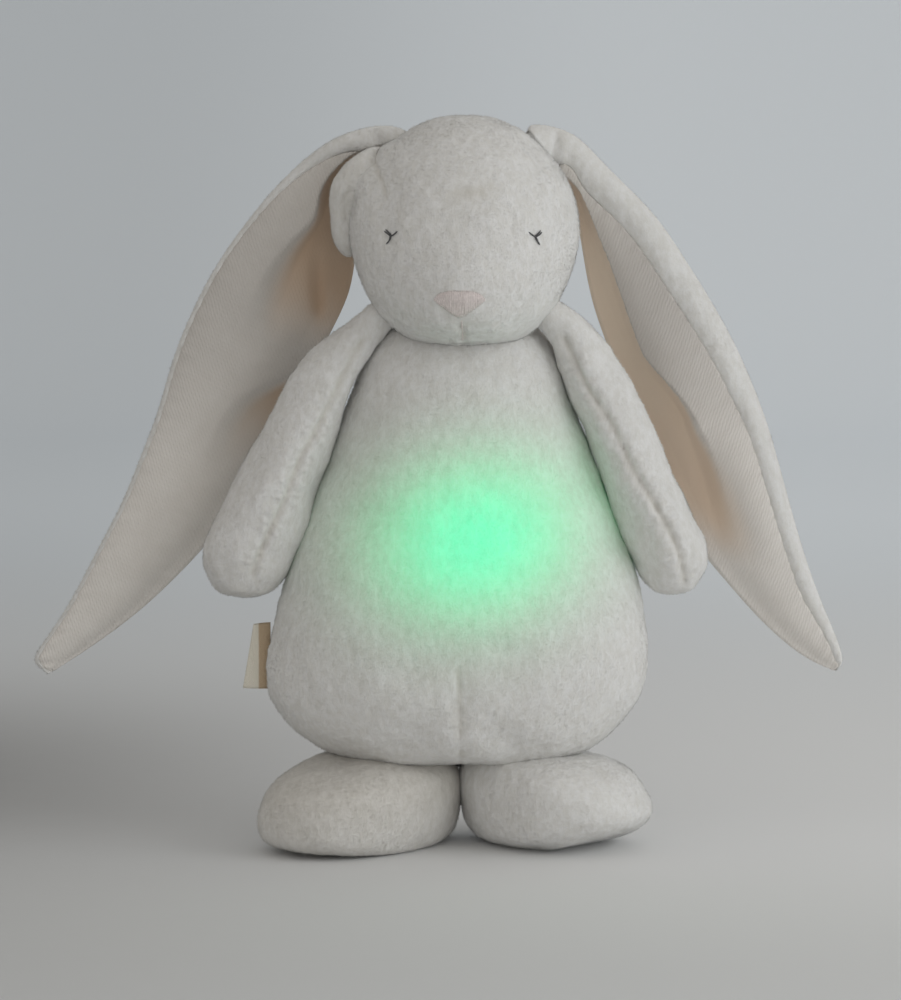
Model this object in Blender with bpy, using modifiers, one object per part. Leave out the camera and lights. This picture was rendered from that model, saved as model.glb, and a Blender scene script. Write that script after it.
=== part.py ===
"""A plush rabbit night light: a stuffed toy that stands on two feet, with a light module in its belly.

Lengths are metres, +Z is up and the toy looks along -Y. Left and right are the toy's own, so its
left is at +X. The origin lies on the ground under the middle of the whole toy. Each piece of the
toy is one object, and the module's pieces hang on one empty that lies in the flat of the back.
"""

import math

import bmesh
import bpy
import numpy as np
from mathutils import Matrix

# Gaps
SEAM_GAP = 0.0003  # between two pieces that touch
SHOULDER_GAP = 0.0006  # between an arm and what it hangs beside
CUT_OVERRUN = 0.010  # how far a cutter reaches past what it cuts

# How finely rounded shapes are divided
TRUNK_RING_POINTS = 8
TRUNK_LEVELS = 2
LIMB_RING_POINTS = 12
LIMB_LEVELS = 1
CORNER_SEGMENTS = 3
SHARP_ANGLE = math.radians(40)

# Where the body's middle stands, because the ears reach further to one side and the toes forward
AXIS_X = 0.0084
AXIS_Y = 0.0135

# Body, a pear standing on the feet
BODY_HEIGHT = 0.197
BODY_WIDTH = 0.163
BODY_DEPTH = 0.095
BODY_SEAT = 0.0060  # how deep the body sits into the tops of the feet
BACK_FLAT = 0.028  # from the body's middle to the flat of its back
# height, half width, reach to the back and reach to the front, each as a share of its size
BODY_SECTION_SHARES = (
    (0.000, 0.40, 0.13, 0.28),
    (0.055, 0.72, 0.30, 0.51),
    (0.140, 0.94, 0.36, 0.59),
    (0.235, 1.00, 0.39, 0.61),
    (0.340, 0.96, 0.40, 0.59),
    (0.500, 0.83, 0.40, 0.52),
    (0.680, 0.69, 0.39, 0.42),
    (0.860, 0.54, 0.34, 0.34),
    (0.955, 0.41, 0.26, 0.25),
    (1.000, 0.26, 0.17, 0.16),
)

# Head, a rounded egg whose muzzle fills out low at the front
HEAD_HEIGHT = 0.102
HEAD_WIDTH = 0.099
HEAD_DEPTH = 0.096
HEAD_SEAT = 0.0160  # how far the head comes down over the top of the body
HEAD_SHIFT_X = 0.0026
HEAD_SHIFT_Y = -0.0050
HEAD_SECTION_SHARES = (
    (0.00, 0.30, 0.10, 0.26),
    (0.13, 0.66, 0.26, 0.47),
    (0.30, 0.89, 0.39, 0.54),
    (0.50, 1.00, 0.46, 0.52),
    (0.70, 0.93, 0.44, 0.45),
    (0.88, 0.66, 0.30, 0.31),
    (1.00, 0.28, 0.12, 0.13),
)

# Arms, which hang from the shoulders beside the body
ARM_REACH = 0.0515
ARM_DROP = 0.1130
ARM_WIDTH = 0.0430
ARM_DEPTH = 0.036
ARM_SHIFT_Y = -0.012
SHOULDER_DROP = 0.0078  # from the top of the body down to the arm's pivot
SHOULDER_OUT = 0.0092  # from the body's side at that height out to the pivot
# outwards, downwards and half width, each as a share of its size
ARM_SECTION_SHARES = (
    (-0.030, -0.045, 0.17),
    (0.000, 0.000, 0.34),
    (0.250, 0.140, 0.62),
    (0.510, 0.350, 0.82),
    (0.800, 0.620, 0.95),
    (0.950, 0.860, 1.00),
    (1.000, 1.000, 0.52),
)

# Feet, ovals that splay outwards and are cut flat to stand on
FOOT_LENGTH = 0.098
FOOT_WIDTH = 0.068
FOOT_HEIGHT = 0.0365
FOOT_SPLAY = math.radians(44)
FOOT_OUT = 0.0432
FOOT_FORWARD = 0.0215
SOLE_CUT = 0.0005
# height, and length and width of that section, each as a share of its size
FOOT_SECTION_SHARES = (
    (0.00, 0.86, 0.84),
    (0.20, 1.00, 1.00),
    (0.50, 1.00, 1.00),
    (0.82, 0.90, 0.90),
    (1.00, 0.60, 0.58),
)

# Ears: a woven lining in front and a velour back behind it, turned forward along the outer edge
EAR_DROP = 0.2390
RIGHT_EAR_REACH = 0.1555
LEFT_EAR_REACH = 0.1330
EAR_LINING_THICKNESS = 0.0014
EAR_BACK_THICKNESS = 0.0030
EAR_LAYER_GAP = 0.0005
EAR_FRONT_Y = 0.0105  # from the body's middle back to the middle of the ear's front
EAR_ROOT_Y = 0.0030
EAR_BULGE = 0.0020
EAR_RECEDE = 0.0190  # how far the inner edge lies behind the outer one
EAR_ROOT_OUT = 0.0330  # from the head's middle out to the top of the ear's root
EAR_ROOT_UNDER = 0.0035  # from the top of the head down to the top of the ear's root
EAR_HEAD_GAP = 0.0005
EAR_COLUMNS = 9
EAR_RIM_SHARE = 0.11  # share of the width that is the turned rim of velour
EAR_RIDGE_SHARE = 0.45  # share of the width at which the ear turns back
EAR_SETTLE_SHARE = 0.20  # share of the length over which the root moves back to its full depth
# outer edge outwards and downwards, inner edge outwards and downwards, as shares of reach and drop
RIGHT_EAR_EDGE_SHARES = (
    (0.000, 0.000, -0.035, 0.034),
    (0.100, 0.012, 0.045, 0.075),
    (0.200, 0.045, 0.100, 0.140),
    (0.305, 0.105, 0.110, 0.220),
    (0.403, 0.180, 0.115, 0.290),
    (0.488, 0.260, 0.150, 0.350),
    (0.556, 0.345, 0.205, 0.420),
    (0.608, 0.430, 0.260, 0.490),
    (0.650, 0.520, 0.315, 0.555),
    (0.700, 0.605, 0.370, 0.625),
    (0.755, 0.690, 0.435, 0.690),
    (0.815, 0.765, 0.515, 0.760),
    (0.880, 0.845, 0.615, 0.830),
    (0.945, 0.915, 0.725, 0.895),
    (1.000, 0.970, 0.850, 0.955),
    (0.985, 0.998, 0.945, 1.000),
)
LEFT_EAR_EDGE_SHARES = (
    (0.000, 0.000, -0.035, 0.036),
    (0.105, 0.018, 0.070, 0.080),
    (0.190, 0.060, 0.105, 0.135),
    (0.285, 0.112, 0.135, 0.190),
    (0.380, 0.168, 0.155, 0.250),
    (0.470, 0.240, 0.185, 0.325),
    (0.560, 0.320, 0.235, 0.405),
    (0.640, 0.400, 0.295, 0.485),
    (0.700, 0.475, 0.355, 0.560),
    (0.750, 0.550, 0.420, 0.640),
    (0.790, 0.625, 0.485, 0.715),
    (0.828, 0.700, 0.545, 0.780),
    (0.868, 0.775, 0.625, 0.835),
    (0.912, 0.845, 0.730, 0.900),
    (0.960, 0.910, 0.865, 0.965),
    (1.000, 0.968, 0.965, 1.000),
)

# Embroidery on the face, laid on the head's surface
STITCH_THICKNESS = 0.0012
EYE_SIZE = 0.0042
EYE_ARM_WIDTH = 0.0012
EYE_OUT = 0.0315
EYE_UP_SHARE = 0.480
EYE_ARM_TURNS = (math.radians(35), math.radians(160), math.radians(275))
NOSE_WIDTH = 0.0235
NOSE_HEIGHT = 0.0115
NOSE_UP_SHARE = 0.185
NOSE_OUTLINE_SHARES = (
    (-0.50, 0.28), (-0.40, 0.46), (-0.15, 0.50), (0.15, 0.50), (0.40, 0.46),
    (0.50, 0.28), (0.42, -0.05), (0.24, -0.38), (0.00, -0.50), (-0.24, -0.38), (-0.42, -0.05),
)
MOUTH_WIDTH = 0.0014
MOUTH_LENGTH = 0.0075
MOUTH_GAP = 0.0010
FACE_SHIFT_X = -0.0020

# Side tag, a folded ribbon sewn into the right side
TAG_REACH = 0.0112
TAG_HEIGHT = 0.0290
TAG_RIBBON = 0.0007
TAG_LOOP = 0.0026  # space inside the fold
TAG_GAP = 0.0005
TAG_UP_SHARE = 0.242
TAG_POINTS = 6

# Light module, measured from the flat of the back: its rear face lies just inside
MODULE_UP = 0.0895  # from the bottom of the body up to the module's middle
HOUSING_WIDTH = 0.062
HOUSING_HEIGHT = 0.080
HOUSING_DEPTH = 0.044
HOUSING_WALL = 0.0020
HOUSING_CORNER = 0.0100
HOUSING_INSET = 0.0025  # from the flat of the back in to the rear face
REAR_SHELL_DEPTH = 0.020
BOSS_RADIUS = 0.0036
BOSS_INSET = 0.0072  # from the housing's side to the middle of a boss
SCREW_RADIUS = 0.0013
SCREW_LENGTH = 0.016
SCREW_HEAD_RADIUS = 0.0024
SCREW_HEAD_HEIGHT = 0.0017
SCREW_SLOT = 0.0006
SCREW_SUNK = 0.011  # from the rear face down to the seat of a screw's head
ROUND_STEPS = 16

# Fabric pouch that lines the pocket in the body
POUCH_THICKNESS = 0.0009
POCKET_CORNER = 0.0085

# Diffuser dome and the light board behind it
DOME_UP = 0.008  # from the module's middle up to the dome's
DOME_RADIUS = 0.0245
DOME_RISE = 0.0120
DOME_WALL = 0.0016
DOME_FLANGE = 0.0022
DOME_FLANGE_THICKNESS = 0.0013
DOME_STEPS = 24
LIGHT_BOARD_WIDTH = 0.049
LIGHT_BOARD_HEIGHT = 0.041
BOARD_THICKNESS = 0.0016
BOARD_CORNER = 0.0020
LIGHT_POST_LENGTH = 0.0035
LIGHT_POST_RADIUS = 0.0017
LIGHT_POST_INSET = 0.0020
LED_SIZE = 0.0050
LED_THICKNESS = 0.0016
LED_OUT = 0.0080
LED_TURN_SHARES = (("led_green", 0.00), ("led_red", 0.25), ("led_blue", 0.50), ("led_white", 0.75))

# Main board, its switches and the buttons that press them
BOARD_EDGE_GAP = 0.0006
BUTTON_RADIUS = 0.0050
BUTTON_PROUD = 0.0016
BUTTON_FLANGE = 0.0012
BUTTON_FLANGE_THICKNESS = 0.0015
BUTTON_STEM_RADIUS = 0.0020
BUTTON_PLAY = 0.0011  # from a button's stem to its switch, more than the button's travel
BUTTON_SPACING = 0.0150
BUTTON_UP = 0.0200
BUTTON_NAMES = ("brightness", "power", "colour")
SWITCH_SIZE = 0.0060
SWITCH_THICKNESS = 0.0035
SWITCH_KEY_RADIUS = 0.0017
SWITCH_KEY_HEIGHT = 0.0005
CHIP_SIZE = 0.0080
CHIP_THICKNESS = 0.0012
CHIP_OUT = 0.0080
CHIP_UP = 0.0060

# Charging socket on a small board of its own
SOCKET_WIDTH = 0.0090
SOCKET_HEIGHT = 0.0032
SOCKET_LENGTH = 0.0073
SOCKET_WALL = 0.00035
SOCKET_TONGUE_WIDTH = 0.0066
SOCKET_TONGUE_HEIGHT = 0.0007
SOCKET_SUNK = 0.0006  # from the rear face in to the socket's mouth
SOCKET_UP = 0.0016
CHARGING_BOARD_WIDTH = 0.0160
CHARGING_BOARD_THICKNESS = 0.0012
CHARGING_BOARD_INSET = 0.0035

# Battery bay in the lower half of the rear shell
BATTERY_WIDTH = 0.0380
BATTERY_HEIGHT = 0.0220
BATTERY_THICKNESS = 0.0100
BATTERY_UP = -0.0250
BATTERY_CORNER = 0.0020
BAY_CLEARANCE = 0.0005  # around the battery, to the edges of the opening
COVER_TOP = -0.0075
COVER_TONGUE_WIDTH = 0.0120
COVER_TONGUE_REACH = 0.0011
COVER_TONGUE_THICKNESS = 0.0012
LUG_WIDTH = 0.0080
LUG_HEIGHT = 0.0060
LUG_DEPTH = 0.0075
LUG_ROOT = 0.0032  # how far the lug runs under the wall that carries it
COVER_SCREW_RADIUS = 0.0011
COVER_SCREW_LENGTH = 0.0085
COVER_SCREW_HEAD_RADIUS = 0.0023
COVER_SCREW_HEAD_HEIGHT = 0.0014
COVER_SCREW_INSET = 0.0030
PAD_MARGIN = 0.0030
FUSE = 0.0004  # how deep joined shapes run into each other

# Leads inside the module
LEAD_RADIUS = 0.0007
LEAD_OUT = 0.0110
LIGHT_LEAD_BOW = 0.0030
LIGHT_LEAD_UP = -0.0040
BATTERY_LEAD_RISE = 0.0050
LEAD_POINTS = 9

# Back flap with its hook-and-loop strips
FLAP_WIDTH = 0.0740
FLAP_TOP = 0.1405  # from the bottom of the body
FLAP_HEIGHT = 0.1170
FLAP_THICKNESS = 0.0024
FLAP_CORNER = 0.0120
FLAP_HEM = 0.0080
STRIP_WIDTH = 0.0480
STRIP_HEIGHT = 0.0140
STRIP_THICKNESS = 0.0008
STRIP_UP = 0.0355  # from the bottom of the body
STRIP_CORNER = 0.0015

# Finishes: colour, roughness and metallic value
FINISHES = {
    "velour": ((0.80, 0.77, 0.69), 0.90, 0.0),
    "woven_lining": ((0.78, 0.72, 0.64), 0.85, 0.0),
    "grey_thread": ((0.10, 0.10, 0.11), 0.60, 0.0),
    "pink_thread": ((0.76, 0.61, 0.57), 0.55, 0.0),
    "ribbon": ((0.74, 0.66, 0.53), 0.70, 0.0),
    "pouch_cotton": ((0.76, 0.74, 0.70), 0.85, 0.0),
    "strip_nylon": ((0.82, 0.81, 0.78), 0.80, 0.0),
    "housing_plastic": ((0.86, 0.86, 0.84), 0.45, 0.0),
    "diffuser_plastic": ((0.92, 0.93, 0.90), 0.35, 0.0),
    "button_rubber": ((0.55, 0.62, 0.60), 0.65, 0.0),
    "circuit_board": ((0.07, 0.25, 0.14), 0.45, 0.0),
    "black_plastic": ((0.03, 0.03, 0.03), 0.50, 0.0),
    "led_resin": ((0.88, 0.90, 0.80), 0.25, 0.0),
    "steel": ((0.62, 0.62, 0.61), 0.30, 1.0),
    "battery_wrap": ((0.20, 0.32, 0.55), 0.40, 0.0),
    "foam": ((0.18, 0.18, 0.19), 0.95, 0.0),
    "lead_cover": ((0.55, 0.08, 0.06), 0.45, 0.0),
}

# Worked out from the sizes above
BODY_BOTTOM = FOOT_HEIGHT - BODY_SEAT
BODY_TOP = BODY_BOTTOM + BODY_HEIGHT
HEAD_BOTTOM = BODY_TOP - HEAD_SEAT
HEAD_TOP = HEAD_BOTTOM + HEAD_HEIGHT
HEAD_X = AXIS_X + HEAD_SHIFT_X
HEAD_Y = AXIS_Y + HEAD_SHIFT_Y
REAR_FACE = -HOUSING_INSET
REAR_WALL_IN = REAR_FACE - HOUSING_WALL
SPLIT = REAR_FACE - REAR_SHELL_DEPTH
FRONT_FACE = REAR_FACE - HOUSING_DEPTH
FRONT_WALL_IN = FRONT_FACE + HOUSING_WALL
DOME_TIP = FRONT_FACE - DOME_RISE
BOARD_FRONT = SPLIT + 2 * SEAM_GAP
BOARD_REAR = BOARD_FRONT + BOARD_THICKNESS
ON_BOARD = BOARD_REAR + SEAM_GAP
UNDER_BOARD = BOARD_FRONT - SEAM_GAP
LIGHT_BOARD_FRONT = FRONT_WALL_IN + LIGHT_POST_LENGTH + SEAM_GAP
BOSS_X = HOUSING_WIDTH / 2 - BOSS_INSET
BOSS_Z = HOUSING_HEIGHT / 2 - BOSS_INSET
BAY_BOTTOM = BATTERY_UP - BATTERY_HEIGHT / 2 - BAY_CLEARANCE
BAY_HALF_WIDTH = BATTERY_WIDTH / 2 + BAY_CLEARANCE
FLAP_STAND = 2 * STRIP_THICKNESS + 3 * SEAM_GAP  # from the flat of the back out to the flap

PARTS = "plush_night_light"
CUTTERS = "cutters"


def new_collection(name):
    collection = bpy.data.collections.new(name)
    bpy.context.scene.collection.children.link(collection)
    return collection


def finish(name):
    """The finish's material, made once."""
    made = bpy.data.materials.get(name)
    if made:
        return made
    colour, roughness, metallic = FINISHES[name]
    made = bpy.data.materials.new(name)
    made.use_nodes = True
    shader = made.node_tree.nodes["Principled BSDF"]
    shader.inputs["Base Color"].default_value = (*colour, 1.0)
    shader.inputs["Roughness"].default_value = roughness
    shader.inputs["Metallic"].default_value = metallic
    made.diffuse_color = (*colour, 1.0)
    return made


def put(name, mesh, look=None, parent=None):
    """An object in the parts' collection, or without a finish in the cutters'."""
    made = bpy.data.objects.new(name, mesh)
    bpy.data.collections[PARTS if look else CUTTERS].objects.link(made)
    made.parent = parent
    if look:
        mesh.materials.append(finish(look))
    else:
        made.hide_render = True
        made.display_type = "WIRE"
    return made


def mesh_from(bm, name, smooth=True):
    """The bmesh as mesh data, its faces turned outwards."""
    bmesh.ops.recalc_face_normals(bm, faces=bm.faces)
    mesh = bpy.data.meshes.new(name)
    bm.to_mesh(mesh)
    bm.free()
    if smooth:
        mesh.shade_smooth()
        mesh.set_sharp_from_angle(angle=SHARP_ANGLE)
    return mesh


def boolean(target, other, operation="DIFFERENCE"):
    step = target.modifiers.new(f"{operation.lower()}_{other.name}", "BOOLEAN")
    step.operation = operation
    step.object = other
    return target


def swell(name, sections, around, levels, look=None, parent=None):
    """A soft form: rings of points from end to end, subdivided, passing through the sections.

    A section is a centre, a vector across and a vector along the ring's two half widths. The cage's
    rings are solved so that the smoothed form, not the cage, has the sizes that were asked for.
    """
    wanted = np.array([np.concatenate(section) for section in sections])
    count = len(wanted)
    smoothing = np.eye(count)
    for row in range(1, count - 1):
        smoothing[row, row - 1 : row + 2] = (1 / 6, 4 / 6, 1 / 6)
    cage = np.linalg.solve(smoothing, wanted)
    ring_share = 2 / 3 + math.cos(math.tau / around) / 3
    turns = np.arange(around) * math.tau / around
    bm = bmesh.new()
    rings = []
    for centre, across, along in cage.reshape(count, 3, 3):
        points = centre + (np.outer(np.cos(turns), across) + np.outer(np.sin(turns), along)) / ring_share
        rings.append([bm.verts.new(point) for point in points])
    for lower, upper in zip(rings, rings[1:]):
        for here in range(around):
            after = (here + 1) % around
            bm.faces.new((lower[here], lower[after], upper[after], upper[here]))
    bm.faces.new(rings[0])
    bm.faces.new(rings[-1])
    made = put(name, mesh_from(bm, name), look, parent)
    for polygon in made.data.polygons:
        polygon.use_smooth = True
    rounding = made.modifiers.new("rounding", "SUBSURF")
    rounding.levels = levels
    rounding.render_levels = levels
    return made


def slab(name, width, height, low_y, high_y, corner, look=None, parent=None, at=(0.0, 0.0)):
    """A plate or block square to Y whose four edges along Y are rounded."""
    bm = bmesh.new()
    bmesh.ops.create_cube(bm, size=1.0)
    bmesh.ops.scale(bm, vec=(width, high_y - low_y, height), verts=bm.verts)
    bmesh.ops.translate(bm, vec=(at[0], (low_y + high_y) / 2, at[1]), verts=bm.verts)
    if corner:
        edges = [e for e in bm.edges if abs(e.verts[0].co.y - e.verts[1].co.y) > (high_y - low_y) / 2]
        bmesh.ops.bevel(
            bm, geom=edges, offset=corner, segments=CORNER_SEGMENTS, profile=0.5, affect="EDGES"
        )
    return put(name, mesh_from(bm, name, smooth=False), look, parent)


def rod(name, radius, low_y, high_y, look=None, parent=None, at=(0.0, 0.0), steps=ROUND_STEPS):
    """A round bar along Y."""
    bm = bmesh.new()
    bmesh.ops.create_cone(
        bm, cap_ends=True, segments=steps, radius1=radius, radius2=radius, depth=high_y - low_y
    )
    bmesh.ops.rotate(bm, matrix=Matrix.Rotation(math.radians(90), 3, "X"), verts=bm.verts)
    bmesh.ops.translate(bm, vec=(at[0], (low_y + high_y) / 2, at[1]), verts=bm.verts)
    return put(name, mesh_from(bm, name), look, parent)


def turned(name, profile, look, parent, at, steps=ROUND_STEPS):
    """A turned piece about an axis along Y; the profile's points are (radius, y) from rear to front."""
    bm = bmesh.new()
    corners = [bm.verts.new((radius, 0.0, y)) for radius, y in profile]
    for first, second in zip(corners, corners[1:]):
        bm.edges.new((first, second))
    if profile[0][0] > 0:
        bm.edges.new((corners[-1], corners[0]))
    mesh = bpy.data.meshes.new(name)
    bm.to_mesh(mesh)
    bm.free()
    made = put(name, mesh, look, parent)
    screw = made.modifiers.new("turning", "SCREW")
    screw.steps = steps
    screw.render_steps = steps
    screw.use_merge_vertices = True
    screw.merge_threshold = SEAM_GAP / 100
    screw.use_smooth_shade = False
    made.location = (at[0], 0.0, at[1])
    made.rotation_euler = (math.radians(-90), 0.0, 0.0)
    return made


def prism(name, outline, low_y, high_y, look=None, parent=None):
    """A flat outline in X and Z carried along Y."""
    curve = bpy.data.curves.new(name, "CURVE")
    curve.dimensions = "2D"
    curve.fill_mode = "BOTH"
    curve.extrude = (high_y - low_y) / 2
    spline = curve.splines.new("POLY")
    spline.points.add(len(outline) - 1)
    for point, (x, z) in zip(spline.points, outline):
        point.co = (x, z, 0.0, 1.0)
    spline.use_cyclic_u = True
    source = bpy.data.objects.new(name, curve)
    bpy.context.scene.collection.objects.link(source)
    bpy.context.view_layer.update()
    mesh = bpy.data.meshes.new_from_object(source.evaluated_get(bpy.context.evaluated_depsgraph_get()))
    bpy.data.objects.remove(source)
    bm = bmesh.new()
    bm.from_mesh(mesh)
    bmesh.ops.remove_doubles(bm, verts=bm.verts, dist=SEAM_GAP / 100)
    bmesh.ops.rotate(bm, matrix=Matrix.Rotation(math.radians(90), 3, "X"), verts=bm.verts)
    bmesh.ops.translate(bm, vec=(0.0, (low_y + high_y) / 2, 0.0), verts=bm.verts)
    return put(name, mesh_from(bm, name, smooth=False), look, parent)


def lead(name, points, look, parent):
    """A wire through the points, as a round tube with closed ends."""
    curve = bpy.data.curves.new(name, "CURVE")
    curve.dimensions = "3D"
    curve.bevel_depth = LEAD_RADIUS
    curve.bevel_resolution = 2
    curve.use_fill_caps = True
    spline = curve.splines.new("POLY")
    spline.points.add(len(points) - 1)
    for point, place in zip(spline.points, points):
        point.co = (*place, 1.0)
    made = bpy.data.objects.new(name, curve)
    bpy.data.collections[PARTS].objects.link(made)
    made.parent = parent
    curve.materials.append(finish(look))
    return made


def body_sections(grow=0.0):
    """The body's rings from the bottom up, larger all round by grow."""
    half, sections = BODY_WIDTH / 2, []
    for up, wide, back, front in BODY_SECTION_SHARES:
        z = BODY_BOTTOM + up * BODY_HEIGHT + grow * (2 * up - 1)
        rear, fore = back * BODY_DEPTH + grow, -front * BODY_DEPTH - grow
        centre = (AXIS_X, AXIS_Y + (rear + fore) / 2, z)
        sections.append((centre, (wide * half + grow, 0, 0), (0, (rear - fore) / 2, 0)))
    return sections


def head_sections(grow=0.0):
    """The head's rings from the chin up, larger all round by grow."""
    half, sections = HEAD_WIDTH / 2, []
    for up, wide, back, front in HEAD_SECTION_SHARES:
        z = HEAD_BOTTOM + up * HEAD_HEIGHT + grow * (2 * up - 1)
        rear, fore = back * HEAD_DEPTH + grow, -front * HEAD_DEPTH - grow
        centre = (HEAD_X, HEAD_Y + (rear + fore) / 2, z)
        sections.append((centre, (wide * half + grow, 0, 0), (0, (rear - fore) / 2, 0)))
    return sections


def body_form(name, grow=0.0, look=None):
    return swell(name, body_sections(grow), around=TRUNK_RING_POINTS, levels=TRUNK_LEVELS, look=look)


def head_form(name, grow=0.0, look=None):
    return swell(name, head_sections(grow), around=TRUNK_RING_POINTS, levels=TRUNK_LEVELS, look=look)


def body_share_at(z, column):
    """One column of the body's sections, at height z."""
    rows = np.array(BODY_SECTION_SHARES)
    return float(np.interp(z, BODY_BOTTOM + rows[:, 0] * BODY_HEIGHT, rows[:, column]))


def body_half_width(z):
    return body_share_at(z, 1) * BODY_WIDTH / 2


def module_empty():
    """The empty that carries the module: in the flat of the back, at the module's middle height."""
    empty = bpy.data.objects.new("module", None)
    bpy.data.collections[PARTS].objects.link(empty)
    empty.location = (AXIS_X, AXIS_Y + BACK_FLAT, BODY_BOTTOM + MODULE_UP)
    return empty


def make_body(module):
    body = body_form("body", look="velour")
    back = slab(
        "back_flat_cutter", BODY_WIDTH, BODY_HEIGHT + BODY_BOTTOM, AXIS_Y + BACK_FLAT,
        AXIS_Y + BACK_FLAT + BODY_DEPTH, 0.0, at=(AXIS_X, (BODY_BOTTOM + BODY_HEIGHT) / 2),
    )
    spare = 2 * (POUCH_THICKNESS + 2 * SEAM_GAP)
    depth = DOME_TIP - POUCH_THICKNESS - 2 * SEAM_GAP
    pocket = slab(
        "pocket_cutter", HOUSING_WIDTH + spare, HOUSING_HEIGHT + spare, depth, CUT_OVERRUN,
        POCKET_CORNER, parent=module,
    )
    boolean(body, back)
    return boolean(body, pocket)


def make_head():
    head = head_form("head", look="velour")
    return boolean(head, body_form("neck_cutter", grow=SEAM_GAP))


def make_arm(name, side):
    """One arm, which turns about its shoulder; side is +1 on the toy's left."""
    pivot_z = BODY_TOP - SHOULDER_DROP
    out = body_half_width(pivot_z) + SHOULDER_OUT
    shoulder = bpy.data.objects.new(f"{name}_shoulder", None)
    bpy.data.collections[PARTS].objects.link(shoulder)
    shoulder.location = (AXIS_X + side * out, AXIS_Y + ARM_SHIFT_Y, pivot_z)
    rows = np.array(ARM_SECTION_SHARES)
    spine = np.column_stack((side * rows[:, 0] * ARM_REACH, rows[:, 0] * 0, -rows[:, 1] * ARM_DROP))
    sections = []
    for centre, way, wide in zip(spine, np.gradient(spine, axis=0), rows[:, 2]):
        square = np.array((-way[2], 0.0, way[0])) / np.hypot(way[0], way[2])
        sections.append((centre, square * wide * ARM_WIDTH / 2, (0, wide * ARM_DEPTH / 2, 0)))
    arm = swell(name, sections, around=LIMB_RING_POINTS, levels=LIMB_LEVELS, look="velour", parent=shoulder)
    boolean(arm, bpy.data.objects["arm_body_cutter"])
    return boolean(arm, bpy.data.objects["arm_head_cutter"])


def make_foot(name, side):
    """One foot, cut flat under its sole and hollowed where the body sits on it."""
    turn = FOOT_SPLAY * side
    long_way = np.array((math.sin(turn), -math.cos(turn), 0.0)) * FOOT_LENGTH / 2
    wide_way = np.array((math.cos(turn), math.sin(turn), 0.0)) * FOOT_WIDTH / 2
    sections = []
    for up, length, width in FOOT_SECTION_SHARES:
        z = up * (FOOT_HEIGHT + SOLE_CUT) - SOLE_CUT
        centre = (AXIS_X + side * FOOT_OUT, AXIS_Y - FOOT_FORWARD, z)
        sections.append((centre, long_way * length, wide_way * width))
    foot = swell(name, sections, around=LIMB_RING_POINTS, levels=LIMB_LEVELS, look="velour")
    boolean(foot, bpy.data.objects["foot_body_cutter"])
    return boolean(foot, bpy.data.objects["ground_cutter"])


def make_limb_cutters():
    body_form("arm_body_cutter", grow=SHOULDER_GAP)
    head_form("arm_head_cutter", grow=SHOULDER_GAP)
    body_form("foot_body_cutter", grow=SEAM_GAP)
    reach = BODY_WIDTH + 2 * FOOT_LENGTH
    ground = slab("ground_cutter", reach, CUT_OVERRUN, -reach / 2, reach / 2, 0.0)
    ground.location = (AXIS_X, AXIS_Y, -CUT_OVERRUN / 2)


def ear_front(side, reach, edge_shares):
    """The ear's front surface as a grid of points, outer edge first, from its root to its tip.

    The first column is the outer edge, the second is the seam between the velour rim and the lining.
    """
    edges = np.array(edge_shares)
    outer, inner = edges[:, None, 0:2], edges[:, None, 2:4]
    over = np.append(0.0, np.linspace(EAR_RIM_SHARE, 1.0, EAR_COLUMNS - 1))[None, :]
    place = outer + (inner - outer) * over[:, :, None]
    along = np.linspace(0.0, 1.0, len(edges))[:, None]
    width = np.linalg.norm((outer - inner) * (reach, EAR_DROP), axis=2)
    width = width / width.max()
    turn = np.clip((over - EAR_RIDGE_SHARE) / (1 - EAR_RIDGE_SHARE), 0.0, 1.0)
    recede = EAR_RECEDE * width * turn * turn * (3 - 2 * turn)
    bulge = EAR_BULGE * width * np.sin(math.pi * np.clip(over / (2 * EAR_RIDGE_SHARE), 0.0, 1.0))
    settle = np.clip(along / EAR_SETTLE_SHARE, 0.0, 1.0)
    base = EAR_ROOT_Y + (EAR_FRONT_Y - EAR_ROOT_Y) * settle
    x = HEAD_X + side * (EAR_ROOT_OUT + place[:, :, 0] * reach)
    z = HEAD_TOP - EAR_ROOT_UNDER - place[:, :, 1] * EAR_DROP
    return np.stack((x, AXIS_Y + base + recede - bulge, z), axis=2)


def facing_back(grid):
    """Unit vectors square to the grid, turned to the back."""
    square = np.cross(np.gradient(grid, axis=0), np.gradient(grid, axis=1))
    square /= np.linalg.norm(square, axis=2)[:, :, None]
    return square * np.sign(square[:, :, 1:2])


def ear_layer(name, front, thickness, look, parent):
    """One layer of the ear: the open surface of its front, thickened to the back."""
    rows, columns = front.shape[:2]
    local = front - np.array(parent.location)
    bm = bmesh.new()
    points = [[bm.verts.new(point) for point in row] for row in local]
    for row in range(rows - 1):
        for column in range(columns - 1):
            bm.faces.new((
                points[row][column], points[row][column + 1],
                points[row + 1][column + 1], points[row + 1][column],
            ))
    bm.normal_update()
    if sum(face.normal.y * face.calc_area() for face in bm.faces) > 0:
        bmesh.ops.reverse_faces(bm, faces=bm.faces)
    mesh = bpy.data.meshes.new(name)
    bm.to_mesh(mesh)
    bm.free()
    mesh.shade_smooth()
    made = put(name, mesh, look, parent)
    wall = made.modifiers.new("thickness", "SOLIDIFY")
    wall.thickness = thickness
    wall.offset = -1.0
    return boolean(made, bpy.data.objects["ear_head_cutter"])


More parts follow.
